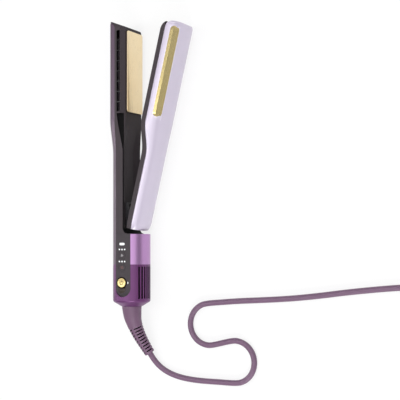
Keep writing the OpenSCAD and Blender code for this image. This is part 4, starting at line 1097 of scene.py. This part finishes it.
class STRAIGHTENER_OT_fixed_arm(bpy.types.Operator):
    """Mauve shell and dark core of the fixed arm"""
    bl_idname = "straightener.fixed_arm"
    bl_label = "Fixed arm"

    def execute(self, context):
        """Builds the shell and the core"""
        s = sizes()
        self.shell(s)
        self.core(s)
        return {"FINISHED"}

    def shell(self, s):
        """Satin shell over the arm's back"""
        def section(k, inset=0.0):
            """Shell's wall from the grip, 0, to the head, 1"""
            return ([arm_out(s, a, k, 0, inset) for a in SIDE]
                    + [arm_out(s, a, k, s.wall, inset) for a in SIDE[::-1]])
        rings = [ring(section(0), y) for y in (s.lower_top, s.sleeve_top, s.grip_last)]
        rings += [ring(section(neck(s, y)), y) for y in neck_rows(s)]
        rings += [ring(section(1), s.head_last)]
        rings += [slanted(s, section(1, inset), drop + 1) for drop, inset in tip_rows(s.tip_round)]
        ob = cut(loft("fixed_arm_shell", rings), [shell_side(s, 0.2 - s.band_x, 0)], "INTERSECT")
        soften(ob, 0.3)
        settle(ob, "handle", "mauve_shell", ["main_shell"])

    def core(self, s):
        """Dark core with its saddle, air channel, slots and plate window"""
        rings = [ring(core_section(s, 0), y) for y in (s.sleeve_top - 1, s.grip_last)]
        rings += [ring(core_section(s, neck(s, y)), y) for y in neck_rows(s)]
        rings += [ring(core_section(s, 1), s.head_last),
                  ring(core_section(s, 1, 0, True), s.head_last + 1)]
        rings += [slanted(s, core_section(s, 1, inset, True), drop)
                  for drop, inset in tip_rows(s.tip_round)]
        ob = cut(loft("fixed_arm_core", rings), [shell_side(s, CLEAR - s.band_x, s.head_last - 3)])
        cut(ob, [self.saddle(s)], "UNION")
        back = block("back", (CLEAR - s.band_x, s.lower_top, CLEAR - s.band_z),
                     (s.band_x - CLEAR, s.sleeve_top - 0.5, s.panel_t + CLEAR - s.band_z))
        cut(ob, [back], "UNION")
        cut(ob, [block("pocket", (-20, 0, s.band_z - s.panel_t - 0.1),
                       (40, s.sleeve_top + 0.03, 40))])
        self.hollow(s, ob)
        soften(ob, 0.22, 34)
        settle(ob, "handle", "dark_core", ["main_frame"])

    def saddle(self, s):
        """Curved seat where the arm runs out on the handle"""
        low, high = s.sleeve_top - 3, s.sleeve_top + s.saddle_r
        z = s.band_z - CLEAR
        ob = round_bar("saddle", (0, (low + high) / 2, 0), s.inner_r - 0.1, high - low, "Y", 96)
        cut(ob, [block("core", (1 - s.band_x, low, -z), (1 + s.band_x, high, z))], "UNION")
        cut(ob, [block("front", (0.5 - s.band_x, 0, -z), (60, 200, z))], "INTERSECT")
        centre = (s.saddle_x, s.sleeve_top + s.saddle_r, 0)
        # The curve and the space above it come out black: painted shade on the saddle between arm
        # and handle.
        cut(ob, [black(round_bar("curve", centre, s.saddle_r, 80, n=96)),
                 black(block("above", (s.saddle_x, s.sleeve_top, -40), (60, 200, 40))),
                 block("duct", (-s.band_x - 1, s.sleeve_top - 10, -12), (4.6 - s.band_x, 200, 12))])
        return ob

    def hollow(self, s, ob):
        """Air channel, slots, groove, plate window and the seat of the hinge"""
        y0, y1 = s.plate_y0, s.plate_y0 + s.plate_len
        bridge = s.floor_x - 5.2
        cuts = [block("channel", (-30, s.sleeve_top + 2, -CHANNEL_Z),
                      (bridge - 0.2, s.neck_y + 2, CHANNEL_Z)),
                block("neck", (-30, s.neck_y, 1.5 - s.cavity_z), (bridge, y0, s.cavity_z - 1.5)),
                block("cavity", (-30, y0 - 1.4, -s.cavity_z), (s.floor_x, y1 + 1.4, s.cavity_z)),
                plate_window(s, s.floor_x - 1, 20)]
        pitch = (s.plate_len + s.slot_rib) / s.slot_count
        x1 = s.cham_x - 0.3
        for side in (-1, 1):
            z0, z1 = sorted((side * (s.head_hw - 0.35), side * (s.head_hw + 3)))
            # Shallow gloss black cut over the row of slots: painted shade on the ribs between them.
            strip = block("strip", (x1 - s.slot_w, y0, z0), (x1, y1 - s.slot_rib, z1))
            strip.data.materials.append(MATERIALS["gloss_black"])
            cut(ob, [strip])
            through = sorted((side * (s.cavity_z - 1), side * (s.cavity_z + 9)))
            for i in range(s.slot_count):
                middle = y0 + i * pitch + (pitch - s.slot_rib) / 2
                outline = pill(x1 - s.slot_w / 2, middle, s.slot_w, pitch - s.slot_rib, 0.5, 4)
                cuts.append(slab("slot", outline, *through))
            rows = []
            for t in steps(0, 1, 12):
                y = mix(y0 - 1.6, s.neck_y + 5, t)
                z = mix(s.band_z, s.head_hw, neck(s, y))
                a, b = mix(x1 - s.slot_w, s.grip_edge - 1.1, t), mix(1, s.grip_edge + 0.2, t)
                deep = [(a, z + 5), (a, z - mix(2, 0.2, t)), (b, z - mix(4.4, 1.2, t)), (b, z + 5)]
                rows.append(ring([(x, side * q) for x, q in deep], y))
            cuts.append(loft("tail", rows))
            path = ([(s.grip_edge - 0.75, s.neck_y + 12), (s.grip_edge - 0.75, s.sleeve_top + 9)]
                    + arc((s.saddle_x, s.sleeve_top + s.saddle_r), s.saddle_r + 0.35, 180, 238, 14))
            z = sorted((side * (s.band_z - 1.1), side * (s.band_z + 3)))
            cuts.append(slab("groove", stroke(path, GROOVE_W), *z))
        # Every one of these cuts comes out black: painted shade in the channel, cavity, slots,
        # wedge, groove and round the plate window.
        cut(ob, [black(c) for c in cuts])
        cut(ob, [block("seat", (s.trough_x - 0.3, HINGE.y - SEAT_Y, -SEAT_Z),
                       (20, HINGE.y + SEAT_Y, SEAT_Z))])


class STRAIGHTENER_OT_handle(bpy.types.Operator):
    """Satin sleeve, vented housing and end cap"""
    bl_idname = "straightener.handle"
    bl_label = "Handle"

    def execute(self, context):
        """Builds the round handle"""
        s = sizes()
        sleeve = spun("handle_sleeve", pipe(s, s.lower_top, s.sleeve_top), n=144)
        cut(sleeve, [block("side", (-50, s.lower_top - 1, -40), (s.band_x, s.sleeve_top + 1, 40))])
        settle(soften(sleeve, 0.6), "handle", "satin_purple", ["sleeve"])
        housing = spun("vented_housing", pipe(s, s.cap_h, s.lower_top), n=144)
        cut(housing, [slab("panel", panel_outline(s, -CLEAR), s.band_z - s.panel_t, 40)])
        soften(housing, 0.7, segments=3)
        cuts = []
        first, last = s.cap_h + 2.3, s.lower_top - 2.2
        for side in (0, pi):
            for i in range(s.inlet_count):
                turn = side + (i - (s.inlet_count - 1) / 2) * s.inlet_pitch
                slot = slab("slot", pill(0, (first + last) / 2, s.inlet_w, last - first, 0.6, 5),
                            s.inner_r - 4, s.handle_r + 4)
                slot.data.transform(Matrix.Rotation(pi / 2 + turn, 4, "Y"))
                # Slot walls come out black: painted shade inside the inlet slots.
                cuts.append(black(slot))
        settle(soften(cut(housing, cuts), 0.35), "handle", "plum", ["lower_housing"])
        r = s.handle_r
        cap = spun("cord_end_cap", [
            (s.cap_r - 5, 0), (s.cap_r - 0.3, 0), (s.cap_r + 0.2, 0.2), (r - 2.4, s.cap_h * 0.62),
            (r - 1.4, s.cap_h - 2), (r - 0.6, s.cap_h - 1.2), (r, s.cap_h - 0.1), (r, s.cap_h),
            (s.inner_r, s.cap_h), (s.inner_r, s.cap_h - 1.2), (s.cap_r - 2, 3.2),
            (s.cap_r - 5, 3.2)], n=144)
        settle(cap, "handle", "plum", ["end_cap"], smooth=30)
        return {"FINISHED"}


def pipe(s, low, high):
    """Profile of the handle's wall between two heights."""
    return [(s.handle_r, low), (s.handle_r, high), (s.inner_r, high), (s.inner_r, low)]


def panel_outline(s, gap):
    """Outline of the control panel, round at its lower end."""
    y = s.panel_y + s.band_x
    return ([(s.band_x - gap, s.sleeve_top + 2), (gap - s.band_x, s.sleeve_top + 2)]
            + arc((0, y), s.band_x - gap, 180, 360, 40))


# How far the mode buttons stand out of the panel, the gap round the power button, and the depth
# and width of its sign
MODE_RISE, POWER_GAP, SIGN_RISE, SIGN_W = 0.2, 0.4, 0.55, 0.8
# Radius of the hollow round the power button, and its middle from the button's
DISH_R, DISH_Y, DISH_Z = 11.2, -6.5, 10


class STRAIGHTENER_OT_controls(bpy.types.Operator):
    """Control panel, power button, mode buttons, lights and signs"""
    bl_idname = "straightener.controls"
    bl_label = "Controls"

    def execute(self, context):
        """Builds the panel and all that is on it"""
        s = sizes()
        s.panel_z = s.band_z - s.panel_t
        self.panel(s)
        self.power(s)
        for name, body, y in (("airflow_key", "airflow_button", s.air_y),
                              ("heat_key", "heat_button", s.heat_y)):
            outline = pill(s.ctl_x, y, s.mode_w, s.mode_l, s.mode_l / 2 - 0.01, 16)
            key = slab(name, outline, s.panel_z - 2, s.band_z + MODE_RISE)
            soften(key, 0.3, 40, 3)
            settle(key, body, "dark_panel", [body])
        self.signs(s)
        return {"FINISHED"}

    def lights(self, s, grow):
        """Outlines of the light windows"""
        yield pill(s.ctl_x, s.air_y + 12.4, 6.6 + grow, 2.7 + grow, 1.34 + grow / 2)
        for y in (s.air_y, s.heat_y):
            for i in (-1, 0, 1):
                yield arc((s.ctl_x + i * s.dot_pitch, y + 6.5), s.dot_r + grow / 2, 0, 345, 23)
        yield pill(s.power_x + s.power_r + s.ring_w + 1.5, s.power_y, 1.1 + grow, 2.4 + grow,
                   0.54 + grow / 2)

    def panel(self, s):
        """Dark panel with its openings and the rest for the thumb"""
        ob = slab("control_panel_face", panel_outline(s, CLEAR), s.panel_z, s.band_z)
        cuts = [slab("light", o, s.panel_z - 1, s.band_z + 1) for o in self.lights(s, 0.06)]
        cuts.append(round_bar("power", (s.power_x, s.power_y, s.band_z), s.power_r + s.ring_w, 12,
                              n=96))
        for y in (s.heat_y, s.air_y):
            outline = pill(s.ctl_x, y, s.mode_w + 0.3, s.mode_l + 0.3, s.mode_l / 2 + 0.14, 16)
            cuts.append(slab("mode", outline, s.panel_z - 1, s.band_z + 1))
        deselect()
        middle = (s.power_x, s.power_y + DISH_Y, s.band_z + DISH_Z)
        bpy.ops.mesh.primitive_uv_sphere_add(segments=96, ring_count=64, radius=DISH_R,
                                             location=middle)
        bpy.ops.object.transform_apply(location=True, rotation=True, scale=True)
        dish = started("dish")
        # The hollow's faces take the dark carrier brown: painted shade in the thumb rest.
        dish.data.materials.append(MATERIALS["carrier_brown"])
        cuts.append(dish)
        soften(cut(ob, cuts), 0.18, 40)
        cut(ob, [block("end", (-20, s.sleeve_top + 0.27, 0), (20, s.sleeve_top + 9, 40))])
        settle(ob, "handle", "dark_panel", ["control_panel"])
        windows = [soften(slab("window", o, s.panel_z + 0.4, s.band_z + 0.03), 0.12)
                   for o in self.lights(s, 0)]
        settle(join("status_lights", windows), "handle", "window_white", ["light_windows"])

    def power(self, s):
        """Power button in its ring"""
        r, z, middle = s.power_r - POWER_GAP, s.panel_z, (s.power_x, s.power_y, 0)
        rim = s.power_r + s.ring_w
        profile = [(r + 0.08, z), (rim, z), (rim, s.band_z + 0.1),
                   (rim - 0.15, s.band_z + 0.34), (rim - 0.35, s.band_z + 0.4),
                   (r + 0.3, s.band_z + 0.36), (r + 0.08, s.band_z + 0.1)]
        # Matte black ring: partly its own colour, partly painted shade round the button.
        settle(spun("power_ring", profile, middle, (0, 0, 1)), "handle", "black_and_painted_shade",
               ["button_ring"])
        z = s.band_z
        profile = [(0, z - 3.2), (r, z - 3.2), (r, z + 0.3), (r - 0.15, z + 0.6),
                   (r - 0.5, z + 0.8), (r - 1.0, z + 0.82), (r - 1.5, z + 0.72),
                   (r - 3.2, z + 0.6), (0, z + 0.56)]
        settle(spun("power_key", profile, middle, (0, 0, 1)), "power_button", "gold_button",
               ["power_button"], smooth=25)

    def signs(self, s):
        """Signs on the buttons: power, fan and heat"""
        z = s.band_z + SIGN_RISE
        x, y = s.power_x, s.power_y
        lines = (arc((x, y - 0.1), 2.0, 125, 415, 30), [(x, y + 0.5), (x, y + 2.4)])
        power = [slab("line", stroke(line, SIGN_W), z - 0.3, z + 0.1) for line in lines]
        settle(join("power_sign", power), "power_button", "sign_olive")
        z = s.band_z + MODE_RISE
        fan = [round_bar("hub", (s.ctl_x, s.air_y, z), 0.32, 0.08, n=20)]
        for i in range(3):
            blade = arc((0.95, 0.25), 0.75, 200, -20, 14) + arc((0.8, 0.1), 0.8, -10, -150, 8)
            ob = slab("blade", blade, z - 0.1, z + 0.04)
            ob.data.transform(Matrix.Translation((s.ctl_x, s.air_y, 0))
                              @ Matrix.Rotation(radians(90 + 120 * i), 4, "Z"))
            fan.append(ob)
        settle(join("fan_sign", fan), "airflow_button", "sign_grey")
        waves = []
        for i in (-1, 0, 1):
            line = [(s.ctl_x + 1.15 * i + 0.28 * sin(t * 2 * pi), s.heat_y - 1.5 + 3 * t)
                    for t in steps(0, 1, 16)]
            waves.append(slab("wave", stroke(line, 0.4), z - 0.1, z + 0.04))
        settle(join("heat_sign", waves), "heat_button", "sign_red")


# Half width of a plate's flat middle, and how far its two sides slope down
FLAT_HW, SIDE_SLOPE = 12.5, 0.45


class STRAIGHTENER_OT_plates(bpy.types.Operator):
    """Champagne plates of both arms"""
    bl_idname = "straightener.plates"
    bl_label = "Plates"

    def execute(self, context):
        """Builds both plates"""
        s = sizes()
        for name, x, way, body in (("fixed_plate", s.plate_x, -1, "main_plate"),
                                   ("moving_plate", s.lever_plate_x, 1, "lever_plate")):
            outline = pill(0, 0, 2 * s.plate_hw, s.plate_len, 2.2)
            ob = slab(name, outline, 0, s.plate_t)
            w = s.plate_hw + 0.2
            roof = [(FLAT_HW, 0), (w, SIDE_SLOPE), (w, 5), (-w, 5), (-w, SIDE_SLOPE),
                    (-FLAT_HW, 0)]
            wedge = slab("wedge", roof, -s.plate_len, s.plate_len)
            wedge.data.transform(Matrix.Rotation(pi / 2, 4, "X"))
            cut(ob, [wedge], "INTERSECT")
            ob.data.transform(Matrix.Translation((x, s.plate_y0 + s.plate_len / 2, 0))
                              @ Matrix.Rotation(way * pi / 2, 4, "Y"))
            soften(ob, 0.35, 30, 3)
            settle(ob, body, "champagne", [body], opened=way > 0, smooth=25)
        return {"FINISHED"}


# Screws in the grip: their places along it, radius of the shaft, and radius and depth of the head
SCREW_Y, SCREW_R, SCREW_HEAD_R, SCREW_HEAD_H = (140, 184), 1.4, 2.8, 0.9
# Angles round the lever at which the bar's two faces meet its shell, and the middle between them
BAR_LOW, BAR_HIGH, BAR_MIDDLE = 73.5, 33, 54


class STRAIGHTENER_OT_lever(bpy.types.Operator):
    """Lilac shell, dark tray and accent bar of the lever arm"""
    bl_idname = "straightener.lever"
    bl_label = "Lever arm"

    def execute(self, context):
        """Builds the lever's shell, tray and bar"""
        s = sizes()
        self.shell(s)
        self.tray(s)
        self.bar(s, "accent_bar_trim", True)
        return {"FINISHED"}

    def rows(self, s):
        """Stations along the lever below its tip"""
        low = [s.lever_y0 + d for d in (0, 0.4, 0.9, 1.6, 2.4, 3.4, 4.6, 6, 7.5, 9)]
        return low + [s.grip_last] + neck_rows(s, 26) + [s.head_last - 17]

    def tips(self, s):
        """Height and inset of each ring of the rounded tip"""
        return [(s.lever_y1 + 0.3 - drop, inset) for drop, inset in tip_rows(s.lever_round, 10)]

    def shell(self, s):
        """Pale shell with walls at both ends and a seat for the bar"""
        def section(y, inset=0.0):
            """Shell's outside at a height"""
            return drawn_in(s, [lever_out(s, a, y, 0, inset) for a in FINE_SIDE], y)
        rings = [ring(section(y), y) for y in self.rows(s)]
        rings += [ring(section(s.lever_y1, inset), y) for y, inset in self.tips(s)]
        ob = loft("lever_shell_skin", rings)
        inner = []
        ys = [s.lever_y0 + 2.2] + [y for y in self.rows(s) if y > s.lever_y0 + 3] + [s.lever_y1 - 5]
        for y in ys:
            arch = [lever_out(s, a, y, s.wall) for a in SIDE]
            low = lever_part(s, y) - 5
            inner.append(ring([(low, arch[0][1])] + arch + [(low, arch[-1][1])], y))
        cut(ob, [loft("inner", inner)])
        cut(ob, [lever_side(s, s.lever_x + 0.25, 8)], "INTERSECT")
        cut(ob, [self.bar(s, "seat", False)])
        soften(ob, 0.35, 34, 3)
        settle(ob, "lever", "lilac", ["lever_shell"], opened=True)

    def tray(self, s):
        """Dark tray with the skirt round the plate"""
        rings = [ring(tray_section(s, y), y) for y in self.rows(s)]
        rings += [ring(tray_section(s, s.lever_y1, inset), y) for y, inset in self.tips(s)]
        ob = loft("lever_tray", rings)
        w = s.head_hw
        nose = [ring([(s.lever_x - 0.2, z), (s.skirt_x + 0.1, z), (s.skirt_x + 0.1, -z),
                      (s.lever_x - 0.2, -z)], y - 0.5)
                for y, inset in self.tips(s) for z in [w - inset - 0.4]]
        cut(ob, [loft("nose", nose),
                 block("wall", (s.inner_x + 0.4, s.lever_y0 + 0.2, -13.6),
                       (s.grip_x - 0.2, s.lever_y0 + 2.4, 13.6))], "UNION")
        cut(ob, [lever_side(s, s.skirt_x, 11.5)], "INTERSECT")
        cuts = [plate_window(s, s.lever_plate_x, 20),
                block("knuckle", (0, HINGE.y - 7, -15.2), (30, HINGE.y + 7, 11.5)),
                block("tip", (s.lever_x - 0.03, s.lever_y1 - 3.4, -30), (60, 330, 30))]
        for y in SCREW_Y:
            head_x = s.inner_x + SCREW_HEAD_H - 5
            cuts += [round_bar("shaft", (s.inner_x, y, 0), SCREW_R, 40, "X", 32),
                     round_bar("head", (head_x, y, 0), SCREW_HEAD_R, 10, "X", 48)]
        # These cuts come out black: painted shade in the plate window, the knuckle's gap, at the
        # tip and in the screw holes.
        cut(ob, [black(c) for c in cuts])
        soften(ob, 0.25, 34)
        settle(ob, "lever", "dark_core", ["lever_frame"], opened=True)

    def bar(self, s, name, finish):
        """Accent bar with two faces, rounded off at both ends"""
        def foot(a, up):
            """Point above the shell's side at an angle"""
            p, q = lever_out(s, a, s.lever_y1), lever_out(s, a - 1, s.lever_y1)
            n = Vector((p[1] - q[1], q[0] - p[0])).normalized()
            return p[0] + up * n.x, p[1] + up * n.y
        y1 = s.lever_y1 - s.bar_gap
        y0 = y1 - s.bar_len
        edge = foot(BAR_LOW, 0.25)
        corner = (edge[0] + s.bar_face, edge[1] + 0.1)
        face = [foot(BAR_LOW, -0.5), edge, corner, foot(BAR_HIGH, 0.35), foot(BAR_HIGH, -0.5),
                foot(BAR_MIDDLE + 1, -0.5)]
        middle = foot(BAR_MIDDLE, -0.5)
        ends = [(4.6 * (1 - cos(a)), mix(0.38, 1, sin(a))) for a in steps(0, pi / 2, 9)]
        rows = [(y0 + d, f) for d, f in ends] + [(y1 - d, f) for d, f in ends[::-1]]
        ob = loft(name, [ring([mix(middle, p, f) for p in face], y) for y, f in rows])
        if finish:
            soften(ob, 0.3, 28, 3)
            settle(ob, "lever", "pale_gold", ["accent_bar"], opened=True)
        return ob


# Radius of the hinge spring and of its wire, its drop per turn, and the height of its top
SPRING_R, SPRING_WIRE_R, SPRING_DROP, SPRING_TOP = 3.0, 0.5, 1.1, -10.6


class STRAIGHTENER_OT_hinge(bpy.types.Operator):
    """Wire spring of the hinge"""
    bl_idname = "straightener.hinge"
    bl_label = "Hinge spring"

    def execute(self, context):
        """Builds the spring"""
        r, z = SPRING_R, SPRING_TOP - SPRING_WIRE_R
        line = [(-9.8, -r, 0), (-6, -r, 0), (-3, -r, 0), (-1.5, -r, 0)]
        line += [(r * cos(radians(a)), r * sin(radians(a)), -SPRING_DROP * (a + 90) / 360)
                 for a in steps(-90, 900, 132)]
        end = line[-1]
        line += [(end[0], end[1] + d, end[2]) for d in (1, 3, 5, 6.6)]
        points = [(HINGE.x + x, HINGE.y + y, z + h) for x, y, h in line]
        ob = loft("hinge_spring_wire", tube_rings(points, [SPRING_WIRE_R] * len(points), 16))
        settle(ob, "lever", "steel", ["hinge_spring"], opened=True)
        return {"FINISHED"}


class STRAIGHTENER_PT_panel(bpy.types.Panel):
    """Panel in the sidebar with every operator and setting"""
    bl_label = "Straightener"
    bl_idname = "STRAIGHTENER_PT_panel"
    bl_space_type = "VIEW_3D"
    bl_region_type = "UI"
    bl_category = "Straightener"

    def draw(self, context):
        """Lists the operators and the settings"""
        for operator in OPERATORS:
            self.layout.operator(operator.bl_idname)
        settings = context.scene.straightener
        for key in (*SIZE_GROUPS, "finish"):
            box = self.layout.box()
            box.label(text=key.title())
            group = getattr(settings, key)
            for prop in group.bl_rna.properties:
                if prop.identifier not in {"rna_type", "name"}:
                    box.prop(group, prop.identifier)


OPERATORS = (STRAIGHTENER_OT_stage, STRAIGHTENER_OT_cord, STRAIGHTENER_OT_handle,
             STRAIGHTENER_OT_controls, STRAIGHTENER_OT_fixed_arm, STRAIGHTENER_OT_plates,
             STRAIGHTENER_OT_lever, STRAIGHTENER_OT_hinge)
CLASSES = (HandleSizes, ArmSizes, LeverSizes, ControlSizes, CordSizes, Finishes, Straightener,
           *OPERATORS, STRAIGHTENER_PT_panel)


def register():
    """Adds the classes and the settings."""
    for cls in CLASSES:
        bpy.utils.register_class(cls)
    bpy.types.Scene.straightener = PointerProperty(type=Straightener)


def unregister():
    """Takes them out again."""
    del bpy.types.Scene.straightener
    for cls in reversed(CLASSES):
        bpy.utils.unregister_class(cls)


def main():
    """Builds everything in order."""
    register()
    finishes()
    for operator in OPERATORS:
        group, name = operator.bl_idname.split(".")
        getattr(getattr(bpy.ops, group), name)()


if __name__ == "__main__":
    main()
